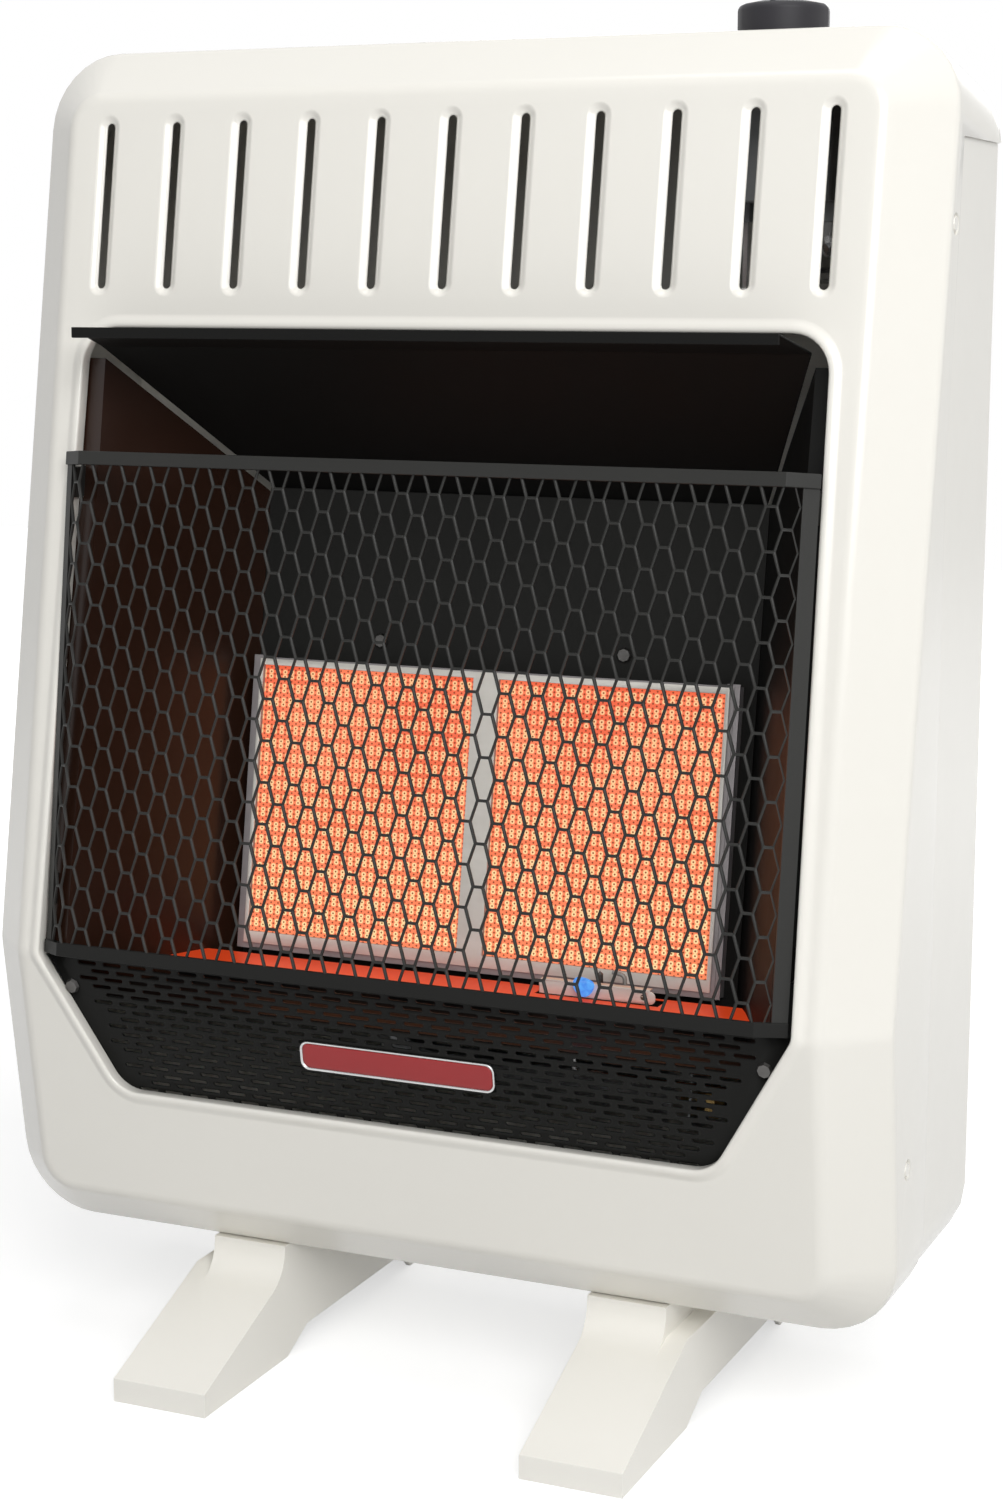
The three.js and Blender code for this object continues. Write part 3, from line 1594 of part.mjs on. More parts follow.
// Rail folded over one edge of the screen
function guardRail(low, groove_low, groove_high) {
  const skin = guard_rail_skin;
  const outer = guardBand(skin + fit, guard_sheet + 2 * fit + 2 * skin);
  const groove = guardBand(fit, guard_sheet + 2 * fit);
  const side = overrun * guard_wing_back;
  const longer = groove.map(([x, y]) => {
    const end = Math.abs(x) > guard_half + guard_wing_out / 2;
    return end ? [x + Math.sign(x) * overrun * guard_wing_out, y + side] : [x, y];
  });
  const rail = solid(prismZ(outer, low, low + guard_rail_height));
  return rail.subtract(solid(prismZ(longer, groove_low, groove_high)));
}

const guardTopRail = () => {
  const low = guard_height - guard_rail_height;
  return guardRail(low, low - overrun, guard_height - guard_rail_skin);
};

const guardBottomRail = () => guardRail(0, guard_rail_skin, guard_rail_height + overrun);

// Lower panel, in a frame that rakes with the lower face: X across, Y back from the panel, Z up along it
function louverPanel() {
  const [high, low] = [0, louver_low].map((z) => [louverHalf(z), z]);
  const outline = [high, mirrorPoint(high), mirrorPoint(low), low];
  const plate = solid(prismY(outline, 0, sheet, louverSlots()));
  const flange_half = fireboxWidthHalf(louver_setback + louver_flange, 0) - fit;
  const flange = block(-flange_half, flange_half, 0, louver_flange, -sheet, 0);
  const holes = sides.map((side) => {
    const { x, z } = louverScrewPlace(side);
    return solid(prismY(circle(screw_radius + fit, x, z), -overrun, overrun));
  });
  return cutBy(plate.add(flange), holes);
}

const mirrorPoint = ([x, z]) => [-x, z];

// Half the panel's width at a height of its frame
function louverHalf(z) {
  const [half_low, half_high] = [opening_foot_half + louver_lap / 2, opening_crease_half - 2 * sheet];
  return half_high + ((half_low - half_high) * z) / louver_low;
}

// Staggered rows of level slots that keep a margin to the panel's slanting ends
function louverSlots() {
  const slots = [];
  const rows = Math.floor((-louver_low - 2 * louver_margin) / louver_row_pitch);
  for (let row = 0; row <= rows; row++) {
    const z = -louver_margin - row * louver_row_pitch;
    const half = louverHalf(z) - louver_margin;
    const stagger = row % 2 ? louver_pitch / 2 : 0;
    const reach = Math.floor((half - louver_slot_length / 2 - stagger) / louver_pitch);
    const [first, last] = row % 2 ? [-reach - 1, reach] : [-reach, reach];
    for (let k = first; k <= last; k++) {
      const x = k * louver_pitch + stagger;
      const [w, h] = [louver_slot_length / 2, louver_slot_height / 2];
      if (Math.abs(x) + w > half) continue;
      slots.push(rectangle(x - w, x + w, z - h, z + h));
    }
  }
  return slots;
}

// Place of a screw in one upper corner of the lower panel
function louverScrewPlace(side) {
  return { x: side * (louverHalf(-louver_screw_drop) - louver_screw_inset), z: -louver_screw_drop };
}

// A short fastener that ends flush behind the panel
function louverScrew(side) {
  const { x, z } = louverScrewPlace(side);
  return solid(screw(sheet + 2 * fit).rotateX(Math.PI / 2).translate(x, -fit, z));
}

// Feet. The outline is a side view, in Y from the toe and Z from the floor
function footProfile(inset) {
  const length = foot_length;
  const rise = instep_height - inset;
  const toe = toe_height - inset;
  const ramp_rise = (instep_height - toe_height) / instep_length;
  return [
    [inset, 0],
    [inset, toe],
    [instep_length + inset * ramp_rise, rise],
    [length - instep_length - inset * ramp_rise, rise],
    [length - inset, toe],
    [length - inset, 0],
  ];
}

// The neck, which runs out into both slopes of the shoe in concave blends
function neckProfile(top) {
  const slope = (instep_height - toe_height) / instep_length;
  const start = instep_length - foot_blend;
  const low = instep_height - foot_blend * slope;
  return rounded([
    [start, low - foot_edge, 0],
    [foot_length - start, low - foot_edge, 0],
    [foot_length - start, low, 0],
    [foot_length - instep_length, instep_height, foot_blend],
    [foot_length - instep_length, top, 0],
    [instep_length, top, 0],
    [instep_length, instep_height, foot_blend],
    [start, low, 0],
  ]);
}

// The opening under the arch between toe and heel
function archProfile() {
  const far = foot_length - heel_contact;
  return [
    [toe_contact, -overrun],
    [toe_contact, 0],
    [toe_contact + arch_ramp, arch_height],
    [far - heel_ramp, arch_height],
    [far, 0],
    [far, -overrun],
  ];
}

const neck_start = instep_length;
const neck_end = foot_length - instep_length;
const footScrewX = () => foot_centre - foot_width / 2 + foot_neck_width / 2;
const footScrewYs = () =>
  sides.map((end) => -foot_length / 2 + (neck_start + neck_end) / 2 + (end * foot_screw_spacing) / 2);

// One foot: a shoe with a sloping instep, a neck flush with its inner side, hollow from below
function foot(side) {
  const shift = (points) => points.map(([y, z]) => [y - foot_length / 2, z]);
  const [x0, x1] = [foot_centre - foot_width / 2, foot_centre + foot_width / 2];
  const neck_x1 = x0 + foot_neck_width;
  const neck_top = floor_gap - fit;
  const y0 = neck_start - foot_length / 2;
  const y1 = neck_end - foot_length / 2;
  const shoe = solid(prismX(shift(footProfile(0)), x0, x1));
  const neck = solid(prismX(shift(neckProfile(neck_top)), x0, neck_x1));
  const w = foot_wall;
  const cavity = solid(prismX(shift(footProfile(w)), x0 + w, x1 - w)).subtract(
    block(x0, x1, ribY(0), ribY(0) + foot_rib, 0, instep_height),
  );
  const below = solid(prismX(shift(rectangle(w, foot_length - w, -overrun, 0)), x0 + w, x1 - w));
  const rib_floor = block(x0, x1, ribY(0), ribY(0) + foot_rib, -overrun, arch_height);
  const neck_cavity = block(x0 + w, neck_x1 - w, y0 + w, y1 - w, instep_height - 2 * w, neck_top - w);
  const arch = solid(prismX(shift(archProfile()), x0 - overrun, x1 + overrun));
  const bosses = footScrewYs().map((y) => {
    const outer = circle(foot_boss_radius, footScrewX(), y);
    return solid(prismZ(outer, instep_height - 2 * w, neck_top));
  });
  const screw_holes = footScrewYs().map((y) =>
    solid(prismZ(circle(screw_radius + fit, footScrewX(), y), 0, floor_gap)),
  );
  const hollow = cutBy(shoe.add(neck), [cavity, below.subtract(rib_floor), neck_cavity, arch]);
  const body = cutBy(joined([hollow, ...bosses]), screw_holes);
  return side > 0 ? body : mirrored(body);
}

// Cross rib inside the shoe, ahead of the arch
const ribY = () => toe_contact / 2 - foot_length / 2;

function footScrew(side, y) {
  const head_z = instep_height - 2 * foot_wall - fit;
  const length = floor_gap - head_z + 2 * sheet;
  return solid(screw(length).rotateX(Math.PI).translate(side * footScrewX(), y, head_z));
}

// Finishes: colour, roughness, metalness
const finishes = {
  cream_enamel: [0xebe7dd, 0.28, 0.0],
  galvanised: [0xb4b6b6, 0.45, 0.8],
  black_paint: [0x1b1c1d, 0.5, 0.1],
  guard_black: [0x2a2a2b, 0.42, 0.2],
  panel_grey: [0x34332f, 0.6, 0.1],
  gloss_black: [0x17120f, 0.15, 0.1],
  burner_steel: [0xc9c5bb, 0.4, 0.7],
  ceramic: [0xf0a078, 0.85, 0.0],
  fibre: [0xe6e0d2, 0.95, 0.0],
  brass: [0xb98f4a, 0.35, 0.9],
  cast_alloy: [0x9a9c9e, 0.5, 0.7],
  bright_steel: [0xc4c6c8, 0.25, 0.9],
  copper: [0xb0704a, 0.4, 0.9],
  black_plastic: [0x2b2a2c, 0.35, 0.0],
  foot_plastic: [0xe9e5db, 0.4, 0.0],
  lead_sleeve: [0x8a3a2c, 0.7, 0.0],
};

function piece(name, body, finish) {
  const [color, roughness, metalness] = finishes[finish];
  const material = new THREE.MeshStandardMaterial({ color, roughness, metalness });
  const mesh = new THREE.Mesh(geometryOf(body), material);
  mesh.name = name;
  return mesh;
}

// A group at a depth and rise from the crease, leaning back by an angle
function leaning(depth, rise, lean, children) {
  const group = new THREE.Group();
  group.position.set(0, crease_y + depth, crease_z + rise);
  group.rotation.x = -lean;
  group.add(...children);
  return group;
}

const cabinet = new THREE.Group().add(
  piece("front_shell", frontShell(), "cream_enamel"),
  piece("back_casing", backCasing(), "cream_enamel"),
  ...sides.flatMap((side) =>
    side_screws.map((place) =>
      piece(`side_screw_${sideName(side)}_${place.end}`, sideScrew(side, place), "cream_enamel"),
    ),
  ),
);

const firebox = new THREE.Group().add(
  piece("firebox_left_side", fireboxSide(-1), "gloss_black"),
  piece("firebox_right_side", fireboxSide(1), "gloss_black"),
  piece("firebox_back", fireboxBack(), "black_paint"),
  piece("firebox_floor", fireboxFloor(), "gloss_black"),
  piece("deflector_hood", deflectorHood(), "black_paint"),
);

const burner = leaning(burner_depth, -burner_drop, burner_lean, [
  piece("burner_panel", burnerPanel(), "panel_grey"),
  piece("burner_frame", burnerFrame(), "burner_steel"),
  piece("burner_box", burnerBox(), "galvanised"),
  piece("plaque_left", plaque(-1), "ceramic"),
  piece("plaque_right", plaque(1), "ceramic"),
  piece("gasket_left", gasket(-1), "fibre"),
  piece("gasket_right", gasket(1), "fibre"),
  ...sides.map((side) => piece(`burner_screw_${sideName(side)}`, burnerScrew(side), "bright_steel")),
  piece("mixer_tube", mixerTube(), "galvanised"),
  piece("injector", injector(), "brass"),
  piece("injector_bracket", injectorBracket(), "galvanised"),
]);

const pilot = new THREE.Group().add(
  piece("pilot_bracket", pilotBracket(), "bright_steel"),
  piece("pilot_burner", pilotBurner(), "bright_steel"),
  piece("thermocouple", thermocouple(), "copper"),
  piece("spark_electrode", sparkElectrode(), "fibre"),
);

const controls = new THREE.Group().add(
  piece("gas_valve", gasValve(), "cast_alloy"),
  piece("valve_bracket", valveBracket(), "galvanised"),
  piece("valve_stem", valveStem(), "bright_steel"),
  piece("spring_collar", springCollar(), "bright_steel"),
  piece("knob_spring", knobSpring(), "bright_steel"),
  piece("control_knob", controlKnob(), "black_plastic"),
  piece("regulator", regulator(), "cast_alloy"),
  piece("inlet_fitting", inletFitting(), "brass"),
  piece("supply_tube", supplyTube(), "bright_steel"),
  piece("burner_tube", burnerTube(), "bright_steel"),
  piece("pilot_tube", pilotLine(valve_ports.pilot, 1, pilot_places.burner.x), "bright_steel"),
  piece("thermocouple_lead", pilotLine(valve_ports.thermocouple, 2, pilot_places.probe.x), "copper"),
  piece("ignition_lead", pilotLine(valve_ports.ignition, 3, pilot_places.electrode.x), "lead_sleeve"),
);

const guard = leaning(-guard_standoff, guard_foot_rise, guard_lean, [
  piece("guard_screen", guardScreen(), "guard_black"),
  piece("guard_top_rail", guardTopRail(), "guard_black"),
  piece("guard_bottom_rail", guardBottomRail(), "guard_black"),
]);

const lower_panel = leaning(louver_setback, 0, -face_rake, [
  piece("louver_panel", louverPanel(), "guard_black"),
  ...sides.map((side) => piece(`louver_screw_${sideName(side)}`, louverScrew(side), "black_paint")),
]);

const feet = new THREE.Group().add(
  piece("foot_left", foot(-1), "foot_plastic"),
  piece("foot_right", foot(1), "foot_plastic"),
  ...sides.flatMap((side) =>
    footScrewYs().map((y) =>
      piece(`foot_screw_${sideName(side)}_${y < 0 ? "front" : "rear"}`, footScrew(side, y), "bright_steel"),
    ),
  ),
);

const heater = new THREE.Group().add(cabinet, firebox, burner, pilot, controls, guard, lower_panel, feet);

export default heater;
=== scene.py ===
import math
import bmesh
import bpy
import numpy as np
from mathutils import Matrix, Vector
from mathutils.geometry import delaunay_2d_cdt


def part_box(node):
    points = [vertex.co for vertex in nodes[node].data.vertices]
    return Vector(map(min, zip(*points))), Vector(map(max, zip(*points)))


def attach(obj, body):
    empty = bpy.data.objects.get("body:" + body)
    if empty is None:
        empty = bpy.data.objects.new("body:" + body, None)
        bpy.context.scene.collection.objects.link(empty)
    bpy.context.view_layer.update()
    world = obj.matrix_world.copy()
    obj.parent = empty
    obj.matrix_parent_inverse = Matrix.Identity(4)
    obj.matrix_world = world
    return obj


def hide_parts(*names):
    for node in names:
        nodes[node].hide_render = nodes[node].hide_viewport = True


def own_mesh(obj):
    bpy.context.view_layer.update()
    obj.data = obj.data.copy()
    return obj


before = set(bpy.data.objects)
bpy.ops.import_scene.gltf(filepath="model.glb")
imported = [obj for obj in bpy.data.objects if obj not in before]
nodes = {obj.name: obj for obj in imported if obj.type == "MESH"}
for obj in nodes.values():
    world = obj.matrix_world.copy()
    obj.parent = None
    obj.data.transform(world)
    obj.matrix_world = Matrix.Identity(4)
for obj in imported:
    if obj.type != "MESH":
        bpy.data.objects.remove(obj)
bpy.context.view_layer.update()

# Camera
# It stands to the right of the heater, a little above its middle, and looks slightly down.
# The picture is cut out off the lens axis by a small shift.
picture_wide, picture_tall = 1003, 1500
film_tall = 36.0
focal_pixels = 2684.95
centre_pixel = (530.6, 767.8)
camera_place = Vector((0.55217, -1.19750, 0.54134))
turn, tilt, roll = (math.radians(angle) for angle in (23.487, 10.087, 0.131))

ahead = Vector((-math.sin(turn) * math.cos(tilt), math.cos(turn) * math.cos(tilt), -math.sin(tilt)))
level = Vector((math.cos(turn), math.sin(turn), 0))
plumb = level.cross(ahead)
lens_right = math.cos(roll) * level + math.sin(roll) * plumb
lens_up = math.cos(roll) * plumb - math.sin(roll) * level

lens = bpy.data.cameras.new("camera")
lens.sensor_width = film_tall
lens.lens = focal_pixels * film_tall / picture_tall
lens.shift_x = (picture_wide / 2 - centre_pixel[0]) / picture_tall
lens.shift_y = (centre_pixel[1] - picture_tall / 2) / picture_tall
lens.clip_start, lens.clip_end = 0.05, 50
camera = bpy.data.objects.new("camera", lens)
bpy.context.collection.objects.link(camera)
lens_axes = Matrix((lens_right, lens_up, -ahead)).transposed()
camera.matrix_world = Matrix.Translation(camera_place) @ lens_axes.to_4x4()
bpy.context.scene.camera = camera
bpy.context.scene.view_settings.view_transform = "Standard"

# Room
# A white studio: a wide pale floor and a plain even level of light that the camera and reflections
# see as white, with large soft lamps in front, at the right, overhead and behind. The floor's own
# light rises with the distance, so that only a faint shadow is left under the feet.
ambient_level = 0.25
floor_reach, floor_tone = 4.0, (0.62, 0.62, 0.62, 1)
glow_from, glow_to = 0.5, 1.6
glow_near, glow_far = 0.58, 1.0
white = (1, 1, 1, 1)
lamps = {
    "front": ((1.5, -2.1, 1.8), 1.6, 62),
    "right_side": ((2.4, 1.2, 1.0), 1.6, 6),
    "top": ((0.1, -0.2, 2.6), 1.4, 14),
    "behind": ((-0.5, 2.8, 1.2), 1.6, 16),
}
lamp_target = Vector((0, 0, 0.33))


def set_inputs(target, inputs):
    """Gives a shader node's inputs, by name or number, a value or a link from another's output."""
    for entry, value in inputs.items():
        if isinstance(value, bpy.types.NodeSocket):
            target.id_data.links.new(value, target.inputs[entry])
        else:
            target.inputs[entry].default_value = value


def add_node(tree, kind, inputs, operation=None):
    """A new shader node and its inputs; for maths also its operation."""
    made = tree.nodes.new("ShaderNode" + kind)
    if operation:
        made.operation = operation
    set_inputs(made, inputs)
    return made


def maths(tree, operation, *values):
    """One calculation from numbers and outputs."""
    return add_node(tree, "Math", dict(enumerate(values)), operation).outputs[0]


def colour_mix(tree, factor, tone_a, tone_b):
    """The mix of two colours, each three numbers or an output."""
    made = tree.nodes.new("ShaderNodeMix")
    made.data_type = "RGBA"
    set_inputs(made, {"Factor": factor, **{entry: (*tone, 1) if isinstance(tone, tuple) else tone
                                           for entry, tone in (("A", tone_a), ("B", tone_b))}})
    return made.outputs["Result"]


def spread(tree, value, low, high, out_low, out_high, smooth=False):
    """A value between two limits, carried over to two others."""
    made = add_node(tree, "MapRange", {"Value": value, "From Min": low, "From Max": high,
                                       "To Min": out_low, "To Max": out_high})
    if smooth:
        made.interpolation_type = "SMOOTHSTEP"
    return made.outputs[0]


def own_place(tree):
    """The object's own coordinates."""
    return tree.nodes.new("ShaderNodeTexCoord").outputs["Object"]


def new_finish(name, inputs):
    """A new material with its Principled shader: the material, the node tree and the shader."""
    finish = bpy.data.materials.new(name)
    finish.use_nodes = True
    shader = finish.node_tree.nodes["Principled BSDF"]
    set_inputs(shader, inputs)
    return finish, finish.node_tree, shader


def looked_at(tree, *ways):
    """1 for the camera's rays and the ways of light that are named, or else 0."""
    seen = tree.nodes.new("ShaderNodeLightPath").outputs
    either = seen["Is Camera Ray"]
    for way in ways:
        either = maths(tree, "MAXIMUM", either, seen[way])
    return either


world = bpy.data.worlds.new("studio")
bpy.context.scene.world = world
world.use_nodes = True
sky = world.node_tree
sky.nodes.clear()
sky_level = spread(sky, looked_at(sky, "Is Glossy Ray", "Is Transmission Ray"), 0, 1, ambient_level, 1)
sky_light = add_node(sky, "Background", {"Color": white, "Strength": sky_level})
add_node(sky, "OutputWorld", {"Surface": sky_light.outputs[0]})

for lamp_name, (place, width, watts) in lamps.items():
    lamp_data = bpy.data.lights.new(lamp_name, "AREA")
    lamp_data.shape = "SQUARE"
    lamp_data.size = width
    lamp_data.energy = watts
    lamp = bpy.data.objects.new(lamp_name, lamp_data)
    bpy.context.collection.objects.link(lamp)
    lamp.location = place
    lamp.rotation_euler = (lamp_target - Vector(place)).to_track_quat("-Z", "Y").to_euler()

floor_mesh = bpy.data.meshes.new("floor")
floor_corners = ((-1, -1), (1, -1), (1, 1), (-1, 1))
floor_mesh.from_pydata([(x * floor_reach, y * floor_reach, 0) for x, y in floor_corners], [], [(0, 1, 2, 3)])
floor = bpy.data.objects.new("floor", floor_mesh)
bpy.context.collection.objects.link(floor)
floor_paint, floor_tree, floor_shader = new_finish("floor_paint", {
    "Base Color": floor_tone, "Roughness": 0.9, "Specular IOR Level": 0.0, "Emission Color": white})
floor_range = add_node(floor_tree, "VectorMath", {0: own_place(floor_tree)}, "LENGTH").outputs["Value"]
floor_level = spread(floor_tree, floor_range, glow_from, glow_to, glow_near, glow_far)
floor_glow = maths(floor_tree, "MULTIPLY", looked_at(floor_tree, "Is Glossy Ray"), floor_level)
set_inputs(floor_shader, {"Emission Strength": floor_glow})
floor_mesh.materials.append(floor_paint)

# Front shell
# One steel pressing in cream enamel, with a leaning face, a crease, a raking lower face, a wide
# bevel all round and a rolled rim round the opening. It hooks over the casing behind it.
crease = Vector((0, -0.091, 0.212))
face_lean, face_rake = math.radians(9.5), math.radians(8)
crease_round = 0.003
sheet = 0.0012
shell_half, shell_low, shell_high, shell_rear = 0.238, 0.0605, 0.6595, 0.080
shell_corner, face_corner = 0.038, 0.016
bevel_wide, bevel_tall, bevel_deep = 0.028, 0.0234, 0.025
fold_reach, side_reach = 0.004, 0.0022
seam_depth, seam_bend, seam_top_depth, seam_top = -0.003, 0.462, 0.012, 0.610
opening_corners = [(0.198, 0.212, 0.008), (0.1936, 0.5225, 0.018), (-0.1936, 0.5225, 0.018),
                   (-0.198, 0.212, 0.008), (-0.158, 0.143, 0.018), (0.158, 0.143, 0.018)]
bead_wide, bead_crest, bead_tall, bead_tip, bead_return = 0.007, 0.002, 0.0017, 0.0003, 0.005
slot_step, slot_half, slot_length, slot_start = 0.0376, 0.0022, 0.082, 0.3346
slot_lip, slot_press = 0.0044, 0.002
knob_hole = (0.143, 0.039, 0.0235)
foot_screw_x, foot_screw_y, screw_hole = 0.104, -0.028, 0.0023
side_screws = [(0.002, 0.571), (-0.036, 0.141)]
dimple_radii = [0.0052, 0.005, 0.0044, 0.004, 0.0023]
dimple_depths = [0, 0.0005, 0.0015, 0.0018, 0.0018]
merge_within, weld_within = 0.000002, 0.000005
flat_angle, fold_angle, fold_steps = math.radians(0.4), math.radians(24), 3
fold_weight, wall_weight = 60, 80
slot_numbers = np.arange(-5, 6)
knob_hole_sides, screw_hole_sides, dimple_sides = 48, 16, 24
fine_gloss = 45
row_count, quarter_count = 5, 9
top_right, top_left = row_count, row_count + quarter_count
low_left = 2 * row_count + 2 * quarter_count
low_right, ring_count = low_left + quarter_count, low_left + 2 * quarter_count


def noise(tree, place, scale, detail, distortion=0.0):
    """Noise over a place."""
    return add_node(tree, "TexNoise", {"Vector": place, "Scale": scale, "Detail": detail,
                                       "Distortion": distortion}).outputs["Fac"]


def film_group():
    """Painted or moulded skin: a broad noise mixes two near tones, a finer one changes the gloss,
    and a small ripple, as height in metres, tilts the surface."""
    group = bpy.data.node_groups.new("skin_of_paint", "ShaderNodeTree")
    for way, kind, names in (
        ("INPUT", "NodeSocketColor", ("Tone A", "Tone B")),
        ("INPUT", "NodeSocketFloat", ("Tone Scale", "Gloss Low", "Gloss High", "Ripple Scale", "Ripple Height")),
        ("OUTPUT", "NodeSocketColor", ("Color",)), ("OUTPUT", "NodeSocketFloat", ("Roughness",)),
        ("OUTPUT", "NodeSocketVector", ("Normal",)),
    ):
        for name in names:
            group.interface.new_socket(name, in_out=way, socket_type=kind)
    entry, leave = group.nodes.new("NodeGroupInput").outputs, group.nodes.new("NodeGroupOutput")
    place = own_place(group)
    broad, fine = noise(group, place, entry["Tone Scale"], 3), noise(group, place, fine_gloss, 2)
    ripple = noise(group, place, entry["Ripple Scale"], 2)
    bump = add_node(group, "Bump", {"Strength": 1.0, "Height": ripple, "Distance": entry["Ripple Height"]})
    set_inputs(leave, {
        "Color": colour_mix(group, broad, entry["Tone A"], entry["Tone B"]),
        "Roughness": spread(group, fine, 0, 1, entry["Gloss Low"], entry["Gloss High"]),
        "Normal": bump.outputs[0]})
    return group


paint_skin = film_group()


def coated(name, tone_a, tone_b, gloss, ripple=(300, 0.00002), tone_scale=6.0, metallic=0.0, shine=0.5):
    """A finish whose colour, gloss and ripple come from the skin of paint."""
    finish, tree, shader = new_finish(name, {"Metallic": metallic, "Specular IOR Level": shine})
    skin = tree.nodes.new("ShaderNodeGroup")
    skin.node_tree = paint_skin
    set_inputs(skin, {"Tone A": (*tone_a, 1), "Tone B": (*tone_b, 1), "Tone Scale": tone_scale,
                      "Gloss Low": gloss[0], "Gloss High": gloss[1],
                      "Ripple Scale": ripple[0], "Ripple Height": ripple[1]})
    set_inputs(shader, {"Base Color": skin.outputs["Color"], "Roughness": skin.outputs["Roughness"],
                        "Normal": skin.outputs["Normal"]})
    return finish


def dress(finish, *names):
    """Gives CAD nodes a finish."""
    for name in names:
        mesh = nodes[name].data
        mesh.materials.clear()
        mesh.materials.append(finish)


def ease_folds(*names, radius):
    """Rounds the folds and edges of CAD nodes: welds the triangles, clears flat faces and bevels."""
    for name in names:
        piece = nodes[name]
        weld = piece.modifiers.new("weld", "WELD")
        weld.merge_threshold = weld_within
        flat = piece.modifiers.new("flat", "DECIMATE")
        flat.decimate_type = "DISSOLVE"
        flat.angle_limit = flat_angle
        bend = piece.modifiers.new("bend", "BEVEL")
        bend.width = radius
        bend.segments = fold_steps
        bend.limit_method = "ANGLE"
        bend.angle_limit = fold_angle
        piece.data.polygons.foreach_set("use_smooth", np.ones(len(piece.data.polygons), bool))
        weighted = piece.modifiers.new("shading", "WEIGHTED_NORMAL")
        weighted.keep_sharp = True
        weighted.weight = fold_weight


cream_enamel = coated("cream_enamel", (0.86, 0.840, 0.782), (0.848, 0.827, 0.766), (0.18, 0.26),
                      ripple=(160, 0.00001))


def lean_back(points, foot, lean):
    """Turns points drawn against an upright face back by an angle and stands them at a foot point:
    y' = y cos + z sin, z' = z cos - y sin."""
    x, y, z = np.moveaxis(np.asarray(points, float), -1, 0)
    cos_lean, sin_lean = math.cos(lean), math.sin(lean)
    return np.stack([x, y * cos_lean + z * sin_lean, z * cos_lean - y * sin_lean], -1) + np.array(foot)


def face_depth(z):
    """How far back the front face lies at a height: two straight slopes that meet at the crease,
    joined there by a parabola as wide as the fold."""
    rise, above, below = z - crease.z, math.tan(face_lean), math.tan(face_rake)
    parabola = (crease_round * (above + below) / 4 + rise * (above - below) / 2
                + rise ** 2 * (above + below) / (4 * crease_round))
    below_crease = np.where(rise < -crease_round, -rise * below, parabola)
    return crease.y + np.where(rise > crease_round, rise * above, below_crease)


def frame_ring(half, low, high, radius):
    """Places (x, z) round an upright rectangle with round corners, from five rows at the crease on
    the right, over the top to five on the left, and back under the bottom. The corners start at
    top_right, top_left, low_left and low_right."""
    rows = crease.z + crease_round * np.linspace(-1, 1, row_count)
    quarter = np.linspace(0, math.pi / 2, quarter_count)

    def corner(x, z, start):
        return np.stack([x + radius * np.cos(start + quarter), z + radius * np.sin(start + quarter)], -1)

    return np.concatenate([
        np.stack([np.full(row_count, half), rows], -1), corner(half - radius, high - radius, 0),
        corner(radius - half, high - radius, math.pi / 2), np.stack([np.full(row_count, -half), rows[::-1]], -1),
        corner(radius - half, low + radius, math.pi), corner(half - radius, low + radius, 1.5 * math.pi)])


def on_face(places, back=0.0):
    """Stands places (x, z) on the front face, or behind it."""
    return np.stack([places[..., 0], face_depth(places[..., 1]) + back, places[..., 1]], -1)


def bend(start, tip, end, steps=4):
    """A fold's round as rings: (1-u)^2 start + 2u(1-u) tip + u^2 end, for u from 0 to 1."""
    u = np.linspace(0, 1, steps + 1)[:, None, None]
    return (1 - u) ** 2 * start + 2 * u * (1 - u) * tip + u ** 2 * end


def ring_faces(rings, count, turns=True):
    """Faces between rings of equally many points, ring after ring, as numpy rows of four."""
    ring = np.arange(rings - 1)[:, None] * count
    place = np.arange(count if turns else count - 1)[None]
    here, beside = ring + place, ring + (place + 1) % count
    return np.stack([here, here + count, beside + count, beside], -1).reshape(-1, 4)


def filled(loops, axes):
    """A flat sheet of triangles inside the first loop and outside the others, from their 3-D points
    seen along the axis that is left out."""
    points = np.concatenate(loops)
    starts = np.cumsum([0] + [len(loop) for loop in loops])
    outlines = []
    for start, loop in zip(starts, loops):
        u, v = loop[:, axes[0]], loop[:, axes[1]]
        area = (u * np.roll(v, -1) - v * np.roll(u, -1)).sum()
        order = start + np.arange(len(loop))
        outlines.append((order if area > 0 else order[::-1]).tolist())
    _, _, faces, first, _, within = delaunay_2d_cdt(points[:, axes].tolist(), [], outlines, 1, 1e-9)
    kept = [face for face, around in zip(faces, within) if around == [0]]
    return points[[origin[0] for origin in first]], np.array(kept)


def rounded_loop(corners, grow, steps=8):
    """An outline with round corners, grown outwards by a distance: each corner's arc keeps its centre
    and turns from one side's outward direction to the next one's."""
    places = np.array([corner[:2] for corner in corners])
    radii = np.array([corner[2] for corner in corners])[:, None]
    ahead_of = np.roll(places, -1, 0) - places
    ahead_of /= np.linalg.norm(ahead_of, axis=1)[:, None]
    before = np.roll(ahead_of, 1, 0)
    outward = np.arctan2(-before[:, 0], before[:, 1])[:, None]
    turning = np.arctan2(before[:, 0] * ahead_of[:, 1] - before[:, 1] * ahead_of[:, 0],
                         (before * ahead_of).sum(1))[:, None]
    towards = ahead_of - before
    towards /= np.linalg.norm(towards, axis=1)[:, None]
    centres = places + towards * radii / np.cos(turning / 2)
    angles = outward + turning * np.linspace(0, 1, steps + 1)
    return (centres[:, None, :] + (radii + grow)[..., None]
            * np.stack([np.cos(angles), np.sin(angles)], -1)).reshape(-1, 2)


